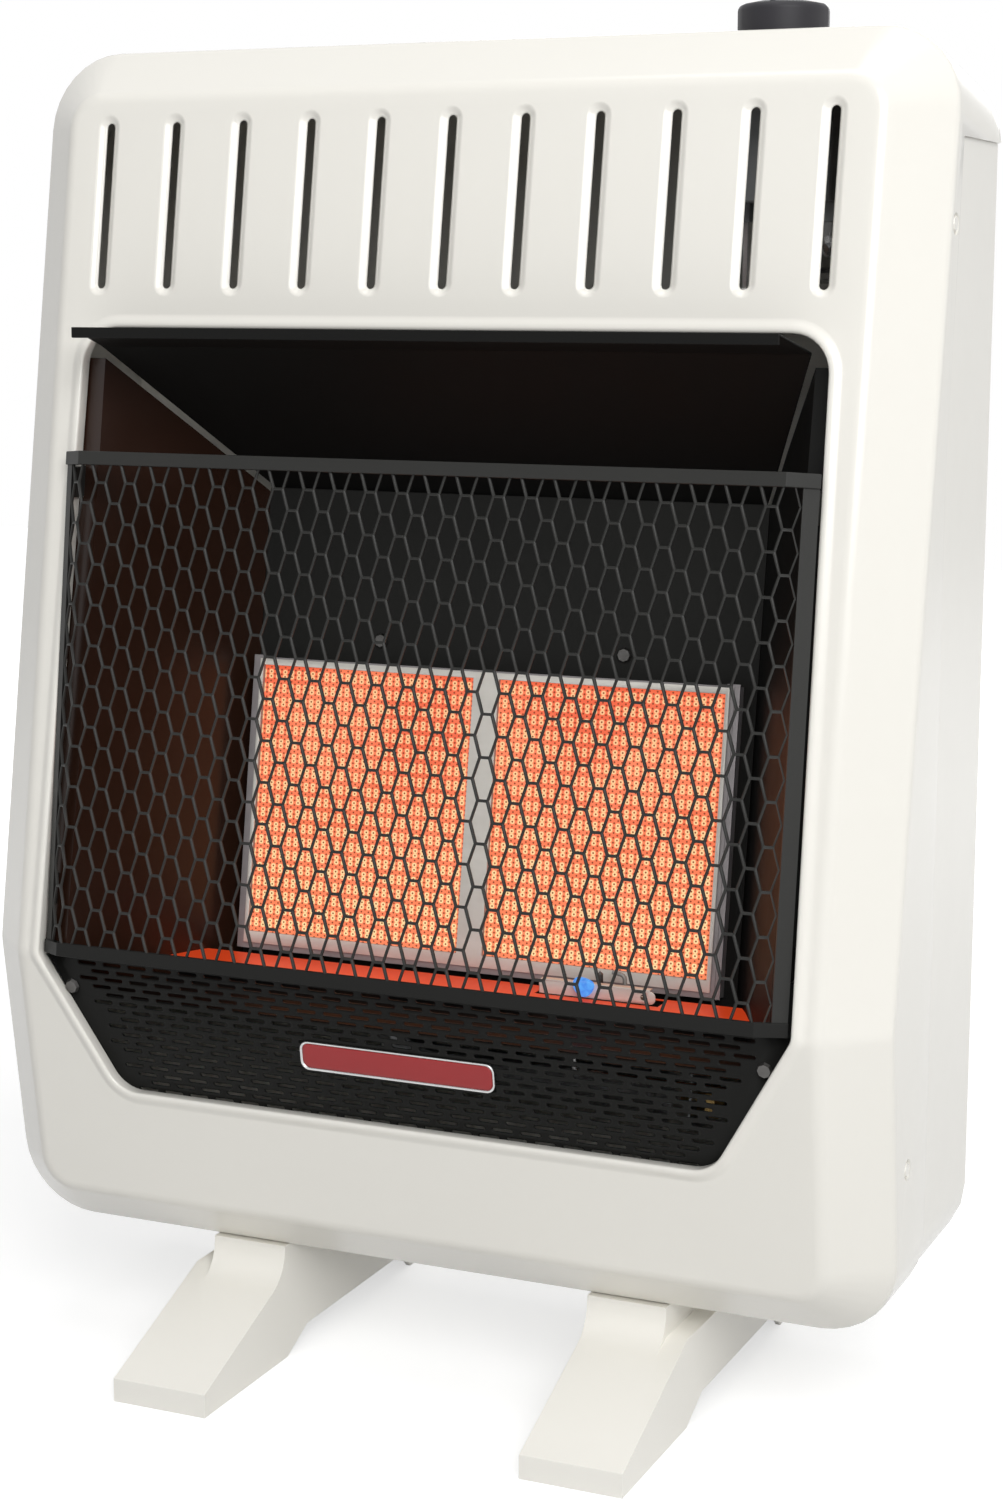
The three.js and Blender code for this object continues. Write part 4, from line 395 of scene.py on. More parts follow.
def repeated(shapes, flip=False):
    """One sheet from many ringed shapes, each with as many rings of as many points."""
    _, rings, count, _ = shapes.shape
    faces = ring_faces(rings, count)[:, ::-1] if flip else ring_faces(rings, count)
    starts = np.arange(len(shapes))[:, None, None] * rings * count
    return shapes.reshape(-1, 3), (starts + faces).reshape(-1, 4)


def capsule(half_wide, half_tall, steps):
    """Places round an upright slot with half-round ends."""
    half_turn = np.linspace(0, math.pi, steps + 1)
    angle = np.concatenate([half_turn, math.pi + half_turn])
    straight = np.repeat([1, -1], steps + 1) * (half_tall - half_wide)
    return np.stack([half_wide * np.cos(angle), half_wide * np.sin(angle) + straight], -1)


def add_piece(name, parts, body, finish, smooth=True, closed=False, towards=None):
    """A piece from several sheets of points and faces, riding on a body. Its doubles are merged, and
    a closed one's faces turned outwards, or an open one's so that the largest looks a given way."""
    mesh = bpy.data.meshes.new(name)
    starts = np.cumsum([0] + [len(points) for points, _ in parts])
    faces = [face for (_, rows), start in zip(parts, starts) for face in (rows + start).tolist()]
    mesh.from_pydata(np.concatenate([points for points, _ in parts]).tolist(), [], faces)
    shape = bmesh.new()
    shape.from_mesh(mesh)
    bmesh.ops.remove_doubles(shape, verts=shape.verts, dist=merge_within)
    bmesh.ops.dissolve_degenerate(shape, edges=shape.edges, dist=merge_within)
    if closed or towards:
        bmesh.ops.recalc_face_normals(shape, faces=shape.faces)
    if towards and max(shape.faces, key=bmesh.types.BMFace.calc_area).normal.dot(Vector(towards)) < 0:
        bmesh.ops.reverse_faces(shape, faces=shape.faces)
    shape.to_mesh(mesh)
    shape.free()
    mesh.polygons.foreach_set("use_smooth", np.full(len(mesh.polygons), smooth))
    mesh.materials.append(finish)
    piece = bpy.data.objects.new(name, mesh)
    bpy.context.collection.objects.link(piece)
    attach(piece, body)
    return piece


def give_wall(piece, thickness):
    """Thickens a sheet inwards and shades it by its large faces."""
    wall = piece.modifiers.new("wall", "SOLIDIFY")
    wall.thickness = thickness
    wall.offset = -1
    wall.use_even_offset = True
    weighted = piece.modifiers.new("shading", "WEIGHTED_NORMAL")
    weighted.weight = wall_weight


# The face, its bevel and the sides, as rings round the cabinet
face_half, face_low, face_high = shell_half - bevel_wide, shell_low + bevel_tall, shell_high - bevel_tall
inner_edge = on_face(frame_ring(face_half - fold_reach, face_low + fold_reach, face_high - fold_reach,
                                face_corner - fold_reach))
face_edge = on_face(frame_ring(face_half, face_low, face_high, face_corner))
side_edge = on_face(frame_ring(shell_half, shell_low, shell_high, shell_corner), bevel_deep)
down_bevel = (side_edge - face_edge) / np.linalg.norm(side_edge - face_edge, axis=1)[:, None]
falls = np.where(side_edge[:, 2] > crease.z + shell_corner, math.tan(face_lean), 0)
backwards = np.stack([np.zeros(ring_count), np.ones(ring_count), -falls], -1)
side_start = side_edge + side_reach * backwards
shell_rings = np.concatenate([
    bend(inner_edge, face_edge, face_edge + fold_reach * down_bevel),
    bend(side_edge - side_reach * down_bevel, side_edge, side_start)])
shell_sheets = [(shell_rings.reshape(-1, 3), ring_faces(len(shell_rings), ring_count))]

# Rolled rim round the opening: a low round bead that turns back into the cabinet
from_opening = np.array([7.0, 6.0, 5.0, 4.0, 3.0, 2.0, 1.3, 0.7, 0.25, 0.0]) / 1000
slope = bead_tall * np.cos(math.pi / 2 * (from_opening - bead_crest) / (bead_wide - bead_crest)) ** 2
round_off = np.sqrt(1 - np.clip(1 - from_opening / bead_crest, 0, 1) ** 2)
bead = np.where(from_opening > bead_crest, slope, bead_tip + (bead_tall - bead_tip) * round_off)
rim_rings = [on_face(rounded_loop(opening_corners, away), -tall) for away, tall in zip(from_opening, bead)]
rim_rings.append(on_face(rounded_loop(opening_corners, 0.0), bead_return))
shell_sheets.append((np.concatenate(rim_rings), ring_faces(len(rim_rings), len(rim_rings[0]))))


# Row of slots: each lip is drawn in by half a cosine wave, straight into the face
def pressed_lip(shares, wide, deep):
    """The distances of a lip's rings from the cut edge, and how deep each of them is drawn in."""
    away = np.array(shares) * wide
    return away, deep * (1 + np.cos(math.pi * away / wide)) / 2


slot_middle = slot_start + slot_length / 2
slot_rings = []
for away, sunk in zip(*pressed_lip([1, 0.8, 0.6, 0.4, 0.2, 0], slot_lip, slot_press)):
    loop = capsule(slot_half + away, slot_length / 2 + away, 8)
    slot_rings.append(np.stack([loop[:, 0], np.full(len(loop), sunk), loop[:, 1] + slot_middle], -1))
slot_shift = slot_numbers[:, None, None, None] * np.array([slot_step, 0, 0])
slots = lean_back(np.stack(slot_rings)[None] + slot_shift, crease, face_lean)
shell_sheets.append(repeated(slots))
shell_sheets.append(filled([inner_edge, rim_rings[0], *slots[:, 0]], [0, 2]))

# Top corners, bottom corners and the flat top and bottom between them
corner_end = side_edge[top_right]
mid_depth = corner_end[1] + (corner_end[2] - seam_top) / math.tan(face_lean)


def carried_to(depth):
    """The ring's side points carried straight back to a depth, along the fall of the top."""
    fallen = side_edge[:, 2] - (depth - side_edge[:, 1]) * falls
    height = np.maximum(fallen, np.where(falls > 0, seam_top, 0))
    return np.stack([side_edge[:, 0], np.full(ring_count, depth), height], -1)


middle, rear, seam_row = carried_to(mid_depth), carried_to(shell_rear), carried_to(seam_depth)
for first, rows in ((top_right, (side_start, middle, rear)), (top_left, (side_start, middle, rear)),
                    (low_left, (side_start, seam_row)), (low_right, (side_start, seam_row))):
    strip = np.stack([row[first:first + quarter_count] for row in rows])
    shell_sheets.append((strip.reshape(-1, 3), ring_faces(len(rows), quarter_count, turns=False)))


def circle(u, v, radius, steps):
    """Places round a circle."""
    angle = np.linspace(0, 2 * math.pi, steps, endpoint=False)
    return np.stack([u + radius * np.cos(angle), v + radius * np.sin(angle)], -1)


def hole_loop(x, y, radius, steps, height, fall=0.0):
    """A round hole through the top or the bottom, whose height falls towards the back from y = 0."""
    place = circle(x, y, radius, steps)
    return np.insert(place, 2, height - place[:, 1] * fall, axis=1)


top_fall = math.tan(face_lean)
top_end = side_start[top_left - 1]
top_edge = [row[place] for place, rows in ((top_left - 1, (side_start, middle, rear)),
                                           (top_left, (rear, middle, side_start))) for row in rows]
low_edge = [side_start[low_right - 1], side_start[low_right], seam_row[low_right], seam_row[low_right - 1]]
screw_holes = [hole_loop(side * foot_screw_x, foot_screw_y, screw_hole, screw_hole_sides, shell_low)
               for side in (-1, 1)]
shell_sheets.append(filled([np.stack(top_edge), hole_loop(
    *knob_hole, knob_hole_sides, top_end[2] + top_end[1] * top_fall, top_fall)], [0, 1]))
shell_sheets.append(filled([np.stack(low_edge), *screw_holes], [0, 1]))

# Sides, with a pressed dimple round each casing screw. In front, a side is bounded by the rings'
# places from one corner's end to the next one's start, going up, and behind by the seam
upward = np.arange(row_count + 2)
for side, front in ((1, upward - 1), (-1, low_left - upward)):
    back_edge = [middle[front[-1]], (side * shell_half, seam_top_depth, seam_top),
                 (side * shell_half, seam_depth, seam_bend), seam_row[front[0]]]
    dimples = []
    for screw in side_screws:
        rings = np.stack([np.insert(circle(*screw, radius, dimple_sides), 0, side * (shell_half - sunk), axis=1)
                          for radius, sunk in zip(dimple_radii, dimple_depths)])
        dimples.append(rings[0])
        shell_sheets.append(repeated(rings[None]))
    shell_sheets.append(filled([np.stack([*side_start[front], *back_edge]), *dimples], [1, 2]))

shell_skin = add_piece("shell_skin", shell_sheets, "cabinet", cream_enamel, towards=(0, -1, 0))
give_wall(shell_skin, sheet)
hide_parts("front_shell")

# Back casing
# A second, flatter steel shell in the same enamel, tucked inside the front one and held by four
# screws in pressed dimples at the sides.
casing_screws = [f"side_screw_{side}_{end}" for side in ("right", "left") for end in ("upper", "lower")]
dress(cream_enamel, "back_casing", *casing_screws)
ease_folds("back_casing", radius=0.001)
ease_folds(*casing_screws, radius=0.0003)

# Firebox
# The left wall in gloss heat-proof enamel that catches the plaques' glow, and the right wall, the
# hood, the floor and the back wall in dull black paint.
firebox_gloss = coated("firebox_gloss", (0.018, 0.008, 0.005), (0.028, 0.011, 0.006), (0.18, 0.28),
                       ripple=(90, 0.00003), shine=0.40)
firebox_black = coated("firebox_black", (0.0035, 0.0035, 0.0033), (0.006, 0.006, 0.0055), (0.5, 0.62),
                       ripple=(500, 0.00003), shine=0.12)
dress(firebox_gloss, "firebox_left_side")
dress(firebox_black, "firebox_right_side", "firebox_back", "deflector_hood", "firebox_floor")
ease_folds("deflector_hood", radius=0.0012)

# Heat tray
# A thin bare sheet over the rear of the firebox's floor. Its red colour and the glow on its top are
# painted reflection of the plaques' light. Its front edge is folded down and a cut-out leaves room for the
# pilot.
tray_height, tray_foot = 0.2018, 0.1990
tray_front, tray_rear = -0.0350, -0.0105
tray_front_half, tray_rear_half = 0.1608, 0.1474
tray_fold, tray_sheet = 0.002, 0.0006
pilot_room = [(0.0445, -0.0248), (0.1095, -0.0248), (0.1095, -0.0125), (0.0445, -0.0125)]
tray_painted_glow, glow_starts, glow_full = 0.9, 0.6, 0.95

# Red metallic base colour: painted reflection of the plaques' light on the tray.
painted_glow_tray = coated("painted_glow_tray", (0.60, 0.07, 0.018), (0.42, 0.05, 0.015), (0.30, 0.45), ripple=(60, 0.0001),
                   tone_scale=25, metallic=0.6)
painted_glow_tree = painted_glow_tray.node_tree
tray_coordinates = painted_glow_tree.nodes.new("ShaderNodeTexCoord")
painted_glow_facing_up = add_node(painted_glow_tree, "SeparateXYZ", {0: tray_coordinates.outputs["Normal"]}).outputs["Z"]
# Emission on the faces turned up: painted glow standing in for the plaques' light falling on the tray.
set_inputs(painted_glow_tree.nodes["Principled BSDF"], {
    "Emission Color": (0.42, 0.034, 0.007, 1),
    "Emission Strength": spread(painted_glow_tree, painted_glow_facing_up, glow_starts, glow_full, 0, tray_painted_glow)})


def folded_strip(edge, first_turn, second_turn, run):
    """A strip that turns at an edge of two points, from one direction to another, and runs on."""
    turned = bend(edge, edge + first_turn, edge + first_turn + np.array(second_turn))
    strip = np.concatenate([turned, turned[-1:] + np.array(run)])
    return strip.reshape(-1, 3), ring_faces(len(strip), 2, turns=False)


tray_edge = np.array([(-tray_front_half, tray_front + tray_fold, tray_height),
                      (tray_front_half, tray_front + tray_fold, tray_height),
                      (tray_rear_half, tray_rear, tray_height), (-tray_rear_half, tray_rear, tray_height)])
tray_hole = np.insert(pilot_room, 2, tray_height, axis=1)
tray_lip = folded_strip(tray_edge[:2], (0, -tray_fold, 0), (0, 0, -tray_fold),
                        (0, 0, tray_foot + tray_fold - tray_height))
heat_tray = add_piece("heat_tray", [filled([tray_edge, tray_hole], [0, 1]), tray_lip],
                      "cabinet", painted_glow_tray, towards=(0, 0, 1))
give_wall(heat_tray, tray_sheet)

# Burner panel
# The dark painted sheet round the burner, screwed on with two screws above it.
panel_paint = coated("panel_paint", (0.008, 0.008, 0.0075), (0.014, 0.014, 0.0125), (0.5, 0.65),
                     ripple=(600, 0.00004), shine=0.16)
dress(panel_paint, "burner_panel")

# Burner
# A bare steel frame holds two ceramic plaques in front of a sheet-steel box. Its light face plate
# stands just proud of it, round the two windows, and a darker flange shows behind it at each side.
# Fine drilled holes cover the plaques, and their faces glow.
burner_foot, burner_lean = (0, -0.005, 0.203), math.radians(9)
plate_half, plate_foot, plate_head = 0.1290, 0.0031, 0.1512
window_inner, window_outer, window_foot, window_head = 0.0069, 0.1271, 0.0089, 0.1481
flange_half, flange_head, flange_depth = 0.1336, 0.1530, 0.0006
plate_proud, plate_sheet = 0.0013, 0.001
hole_column, hole_row, hole_radius = 0.00405, 0.0024, 0.00052
hole_core, hole_rim = 0.55 * hole_radius, 1.25 * hole_radius
cold_core, cold_rim = 0.6 * hole_radius, 1.1 * hole_radius
ring_full, ring_ends, ring_loss, ring_rows = 1.9 * hole_radius, 3.1 * hole_radius, 0.3, 3
row_plain, row_ringed = 0.1, 0.3
plaque_low, plaque_high = 0.20, 0.34
blotch_scale, blotch_from, blotch_to = 28, 0.35, 0.7
hot_tone, mild_tone, blotch_tone = (0.95, 0.23, 0.095), (0.85, 0.11, 0.042), (0.97, 0.22, 0.10)
ring_tone, hole_tone = (1.0, 0.73, 0.36), (0.24, 0.05, 0.018)
cold_tone, cold_hole = (0.12, 0.08, 0.06), (0.02, 0.01, 0.008)


def metal(name, light, dark, gloss, streaks=(60, 900, 60), metallic=1.0):
    """Bare sheet metal: noise drawn out into streaks changes colour and gloss a little."""
    finish, tree, shader = new_finish(name, {"Metallic": metallic})
    drawn = add_node(tree, "Mapping", {"Vector": own_place(tree), "Scale": streaks})
    streak = noise(tree, drawn.outputs[0], 1, 4)
    set_inputs(shader, {"Base Color": colour_mix(tree, streak, dark, light),
                        "Roughness": spread(tree, streak, 0, 1, *gloss)})
    return finish


def drilled_glow():
    """Glowing ceramic: two rectangular lattices of holes, the second half a step aside and up, give
    the distance to the nearest hole. Holes are dark, and two in three of the first lattice's rows
    have pale rings, which weaken towards the top."""
    finish, tree, shader = new_finish("glowing_ceramic", {"Roughness": 0.85, "Specular IOR Level": 0.05,
                                                          "Emission Strength": 1.0})
    place = own_place(tree)
    upright_face = add_node(tree, "Mapping", {"Vector": place, "Rotation": (burner_lean, 0, 0)})
    parts = add_node(tree, "SeparateXYZ", {0: upright_face.outputs[0]}).outputs

    def off_middle(part, step, shift):
        """The square of the distance to the middle of a step, and the count of steps."""
        steps = maths(tree, "ADD", maths(tree, "DIVIDE", part, step), shift)
        apart = maths(tree, "MULTIPLY", maths(tree, "SUBTRACT", maths(tree, "FRACT", steps), 0.5), step)
        return maths(tree, "MULTIPLY", apart, apart), steps

    def nearest(shift):
        """The distance to the nearest hole of one lattice, shifted by a share of its steps."""
        across, _ = off_middle(parts["X"], hole_column, shift)
        along, rows = off_middle(parts["Z"], hole_row, shift)
        return maths(tree, "SQRT", maths(tree, "ADD", across, along)), rows

    def smooth(*values):
        return spread(tree, *values, smooth=True)

    first, rows = nearest(0.0)
    either = maths(tree, "MINIMUM", first, nearest(0.5)[0])
    height = smooth(parts["Z"], plaque_low, plaque_high, 0, 1)
    blotches = smooth(noise(tree, place, blotch_scale, 3), blotch_from, blotch_to, 0, 1)
    body = colour_mix(tree, blotches, colour_mix(tree, height, hot_tone, mild_tone), blotch_tone)
    row_share = maths(tree, "FRACT", maths(tree, "DIVIDE", maths(tree, "FLOOR", rows), ring_rows))
    strength = maths(tree, "SUBTRACT", 1.0, maths(tree, "MULTIPLY", height, ring_loss))
    reach = maths(tree, "MULTIPLY", smooth(first, ring_full, ring_ends, 1, 0), strength)
    ring = maths(tree, "MULTIPLY", reach, smooth(row_share, row_plain, row_ringed, 0, 1))
    ringed = colour_mix(tree, ring, body, ring_tone)
    hot_share, cold_share = smooth(either, hole_core, hole_rim, 1, 0), smooth(either, cold_core, cold_rim, 1, 0)
    set_inputs(shader, {"Emission Color": colour_mix(tree, hot_share, ringed, hole_tone),
                        "Base Color": colour_mix(tree, cold_share, cold_tone, cold_hole)})
    return finish


def upright(ends, foot, head, back):
    """A rectangle's four corners against the burner's face, leaned back with it."""
    left, right = sorted(ends)
    return lean_back([(left, back, foot), (right, back, foot), (right, back, head), (left, back, head)],
                     burner_foot, burner_lean)


frame_steel = metal("frame_steel", (0.86, 0.83, 0.77), (0.70, 0.67, 0.61), (0.42, 0.55), metallic=0.2)
frame_edge = metal("frame_edge", (0.40, 0.37, 0.38), (0.28, 0.26, 0.26), (0.4, 0.5), metallic=0.3)
dull_screw = metal("dull_screw", (0.16, 0.155, 0.15), (0.08, 0.078, 0.075), (0.35, 0.5), (200, 200, 200))
zinc_sheet = metal("zinc_sheet", (0.60, 0.61, 0.62), (0.45, 0.46, 0.47), (0.35, 0.5), (120, 120, 120))
bright_steel = metal("bright_steel", (0.70, 0.70, 0.70), (0.5, 0.5, 0.5), (0.2, 0.32))
turned_brass = metal("turned_brass", (0.75, 0.52, 0.22), (0.6, 0.4, 0.15), (0.22, 0.35))
cast_metal = metal("cast_metal", (0.5, 0.51, 0.52), (0.38, 0.39, 0.4), (0.45, 0.6), (300, 300, 300))
drawn_copper = metal("drawn_copper", (0.66, 0.32, 0.2), (0.5, 0.22, 0.13), (0.28, 0.4))
pressed_fibre = coated("pressed_fibre", (0.78, 0.74, 0.66), (0.7, 0.66, 0.58), (0.85, 0.95), (900, 0.0001))
dress(frame_edge, "burner_frame")
dress(drilled_glow(), "plaque_left", "plaque_right")
dress(zinc_sheet, "burner_box", "mixer_tube", "injector_bracket", "valve_bracket")
dress(pressed_fibre, "gasket_left", "gasket_right")
dress(dull_screw, "burner_screw_left", "burner_screw_right")
dress(turned_brass, "injector")

windows = [upright((side * window_inner, side * window_outer), window_foot, window_head, -plate_proud)
           for side in (-1, 1)]
plate_edge = upright((-plate_half, plate_half), plate_foot, plate_head, -plate_proud)
face_plate = add_piece("burner_face_plate", [filled([plate_edge, *windows], [0, 2])],
                       "cabinet", frame_steel, towards=(0, -1, 0))
give_wall(face_plate, plate_sheet)
flange_sheets = [(upright((side * window_outer, side * flange_half), 0, flange_head, flange_depth),
                  np.array([[0, 1, 2, 3]])) for side in (-1, 1)]
flanges = add_piece("burner_flanges", flange_sheets, "cabinet", frame_edge, towards=(0, -1, 0))
give_wall(flanges, plate_sheet)

# Pilot
# A small burner on a bright bracket at the firebox's floor, with a probe and an electrode. A plate
# with round right corners, an eye and a folded head covers it, and a short blue flame, a drop that
# is drawn out to one side and pressed in at its foot, shows in front of the plate's head.
cover_front, cover_low, cover_high, cover_sheet = -0.0240, 0.2022, 0.2086, 0.0008
cover_left, cover_right = 0.0470, 0.1078
sharp_corner, cover_corner = 0.0004, 0.0028
cover_fold, cover_shelf = 0.0008, 0.0030
eye, eye_sides = (0.1015, 0.2053, 0.0015), 16
flame_middle, flame_reach = (0.0726, -0.0268, 0.2088), (0.0056, 0.0020, 0.0048)
flame_sides, flame_rings, pole_gap = 24, 13, 0.02
flame_swell, flame_draw = 0.25, 0.15
flame_deep, flame_pale, flame_body = (0.02, 0.10, 0.75), (0.16, 0.55, 1.0), (0.01, 0.02, 0.06, 1)
swirl_scale, swirl_bend, veil_thin, veil_dense = 260, 1.2, 0.55, 0.95


def capped(rings):
    """A closed body from rings of points: its side and its two flat ends."""
    points, first = rings.reshape(-1, 3), np.arange(rings.shape[1])
    ends = np.array([first[::-1], len(points) - len(first) + first])
    return [(points, ring_faces(len(rings), len(first))), (points, ends)]


sleeve_ceramic = coated("sleeve_ceramic", (0.34, 0.32, 0.30), (0.28, 0.27, 0.25), (0.4, 0.55), (400, 0.00002))
dress(bright_steel, "pilot_bracket", "pilot_burner")
dress(dull_screw, "thermocouple")
dress(sleeve_ceramic, "spark_electrode")

cover_corners = [(cover_left, cover_low, sharp_corner), (cover_right, cover_low, cover_corner),
                 (cover_right, cover_high, cover_corner), (cover_left, cover_high, sharp_corner)]
cover_outline, cover_eye = (np.insert(loop, 1, cover_front, axis=1)
                            for loop in (rounded_loop(cover_corners, 0.0), circle(*eye, eye_sides)))
head_line = np.array([(cover_left + cover_fold, cover_front, cover_high),
                      (cover_right - cover_corner, cover_front, cover_high)])
cover_head = folded_strip(head_line, (0, 0, cover_fold), (0, cover_fold, 0), (0, cover_shelf, 0))
pilot_cover = add_piece("pilot_cover", [filled([cover_outline, cover_eye], [0, 2]), cover_head],
                        "cabinet", frame_steel, towards=(0, -1, 0))
give_wall(pilot_cover, cover_sheet)

turn_round, from_pole = np.meshgrid(np.linspace(0, 2 * math.pi, flame_sides, endpoint=False),
                                    np.linspace(pole_gap, math.pi - pole_gap, flame_rings))
swell = np.sin(from_pole) * (1 + flame_swell * np.cos(from_pole))
drop = np.stack([-np.cos(from_pole) * (1 + flame_draw * np.cos(from_pole)), swell * np.cos(turn_round),
                 swell * np.sin(turn_round) + flame_draw * np.cos(2 * from_pole)], -1)
flame_blue, flame_tree, flame_shader = new_finish("flame_blue", {
    "Base Color": flame_body, "Specular IOR Level": 0.0, "Emission Strength": 1.0})
flame_swirl = noise(flame_tree, own_place(flame_tree), swirl_scale, 2, swirl_bend)
set_inputs(flame_shader, {"Emission Color": colour_mix(flame_tree, flame_swirl, flame_deep, flame_pale),
                          "Alpha": spread(flame_tree, flame_swirl, 0, 1, veil_thin, veil_dense)})
add_piece("pilot_flame", capped(drop * flame_reach + flame_middle), "cabinet", flame_blue, closed=True)

# Gas line
# Valve, regulator and lines behind the firebox: cast bodies, bright tubes, a copper probe line and
# a sleeved ignition lead.
lead_sleeve = coated("lead_sleeve", (0.16, 0.03, 0.02), (0.12, 0.025, 0.015), (0.55, 0.7))
dress(cast_metal, "gas_valve", "regulator")
dress(turned_brass, "inlet_fitting")
dress(bright_steel, "valve_stem", "spring_collar", "supply_tube", "burner_tube", "pilot_tube")
dress(drawn_copper, "thermocouple_lead")
dress(lead_sleeve, "ignition_lead")

# Knob
# A smooth black moulding, slightly crowned, with a raised pointer line. Under it the return spring
# is a round wire along (R cos a, R sin a, a rise), each ring of the wire on the helix's own normal
# and binormal.
coil_wire, coil_turns, coil_sides, coil_steps = 0.0007, 4, 12, 28

knob_plastic = coated("knob_plastic", (0.017, 0.016, 0.020), (0.023, 0.022, 0.026), (0.5, 0.58),
                      (700, 0.00001), shine=0.32)
dress(knob_plastic, "control_knob")
ease_folds("control_knob", radius=0.0004)

coil_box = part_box("knob_spring")
coil_middle, coil_size = (coil_box[0] + coil_box[1]) / 2, coil_box[1] - coil_box[0]
coil_radius, coil_tall = coil_size.x / 2 - coil_wire, coil_size.z
coil_angle = np.linspace(0, 2 * math.pi * coil_turns, coil_turns * coil_steps + 1)[:, None]
coil_rise = (coil_tall - 2 * coil_wire) / (2 * math.pi * coil_turns)
coil_pitch = math.atan2(coil_rise, coil_radius)
wire_out, wire_up = circle(0, 0, coil_wire, coil_sides).T
wire_along = -math.sin(coil_pitch) * wire_up
coil_rings = np.stack([(coil_radius + wire_out) * np.cos(coil_angle) - wire_along * np.sin(coil_angle),
                       (coil_radius + wire_out) * np.sin(coil_angle) + wire_along * np.cos(coil_angle),
                       coil_angle * coil_rise + coil_wire + math.cos(coil_pitch) * wire_up], -1)
return_coil = add_piece("return_coil", capped(coil_rings + (coil_middle.x, coil_middle.y, coil_box[0].z)),
                        "cabinet", bright_steel, closed=True)
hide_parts("knob_spring")
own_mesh(return_coil)

# Guard screen
# Expanded steel in satin black: long six-sided openings in staggered columns, with the strands
# tilted as the press leaves them. The screen bends back at both ends into solid margins.
guard_lean, guard_foot = math.radians(7.5), crease + Vector((0, -0.0066, 0.002))
screen_sheet, screen_low, screen_high = 0.0016, 0.0015, 0.2495
wing_out, wing_back, wing_gap = 0.013, 0.009, 0.0002
wing_turn, bend_radius = math.atan2(wing_back, wing_out), 0.004
screen_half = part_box("guard_screen")[1].x - wing_out
column_step, row_step = 0.00825, 0.0201
first_column, first_opening = -0.0053, 0.00455
columns, rows = np.arange(-26, 26), np.arange(-1, 14)
bond, strand, strand_tilt, strand_round = 0.0050, 0.00135, 0.0003, 0.0004
solid_from = (-0.1925, 0.1906)
reach_left, reach_right, reach_tall = 0.004, 0.001, 0.008
tab_tall, tab_deep, tab_thick, tab_inset = 0.015, 0.018, 0.0016, 0.0012
tab_heights = (0.024, 0.228)

satin_black = coated("satin_black", (0.018, 0.018, 0.017), (0.026, 0.026, 0.024), (0.42, 0.55),
                     (900, 0.00002), shine=0.24)
# A darker, duller copy of the satin black for the bottom rail: painted shade.
satin_black_painted_shade = coated("satin_black_painted_shade", (0.009, 0.009, 0.0085), (0.014, 0.014, 0.013), (0.42, 0.55),
                   (900, 0.00002), shine=0.14)


def along_guard(s, back, z):
    """Places at a distance s along the guard's plan line, back from its face and up along it. The line
    is straight, then an arc, then the straight wing."""
    run, side = np.abs(s), np.sign(s)
    arc_start = screen_half - bend_radius * math.tan(wing_turn / 2)
    arc_end = arc_start + bend_radius * wing_turn
    turned = np.clip((run - arc_start) / bend_radius, 0, wing_turn)
    wing = np.maximum(run - arc_end, 0)
    x = np.minimum(run, arc_start) + bend_radius * np.sin(turned) + wing * math.cos(wing_turn)
    y = bend_radius * (1 - np.cos(turned)) + wing * math.sin(wing_turn)
    return lean_back(np.stack([side * (x - back * np.sin(turned)), y + back * np.cos(turned), z], -1),
                     guard_foot, guard_lean)


def opening_outline(inset):
    """Six corners of one opening, drawn in by inset from the middle lines of the strands."""
    tip, corner, tall = column_step - bond / 2, bond / 2, row_step / 2
    slant = math.hypot(tall, tip - corner)
    reach = tip - inset * slant / tall
    edge = (tip * tall - inset * slant - (tall - inset) * (tip - corner)) / tall
    return np.array([(reach, 0), (edge, tall - inset), (-edge, tall - inset),
                     (-reach, 0), (-edge, inset - tall), (edge, inset - tall)])


def margin_band(s0, s1, steps=12):
    """A solid strip of the screen between two places on its plan line, as a closed section of four
    corners carried along the line."""
    s = np.linspace(s0, s1, steps + 1)
    section = [(0, screen_low), (0, screen_high), (screen_sheet, screen_high), (screen_sheet, screen_low)]
    points = np.stack([along_guard(s, np.full_like(s, back), np.full_like(s, z)) for back, z in section], 1)
    first = np.arange(4)
    return points.reshape(-1, 3), np.concatenate([ring_faces(steps + 1, 4), [first, 4 * steps + first[::-1]]])


def guard_tab(side, rise):
    """One tab on a wing's rear edge, level in the heater's frame, as a box of eight corners."""
    slant, high = tab_deep * math.tan(guard_lean), tab_tall / math.cos(guard_lean)
    outer = side * (screen_half + wing_out - tab_inset)
    profile = [(wing_back, rise), (wing_back + tab_deep, rise + slant),
               (wing_back + tab_deep, rise + slant + high), (wing_back, rise + high)]
    points = [(x, y, z) for x in sorted((outer - side * tab_thick, outer)) for y, z in profile]
    faces = np.array([[0, 1, 2, 3], [7, 6, 5, 4], [0, 4, 5, 1], [1, 5, 6, 2], [2, 6, 7, 3], [3, 7, 4, 0]])
    return lean_back(points, guard_foot, guard_lean), faces[:, ::-1]


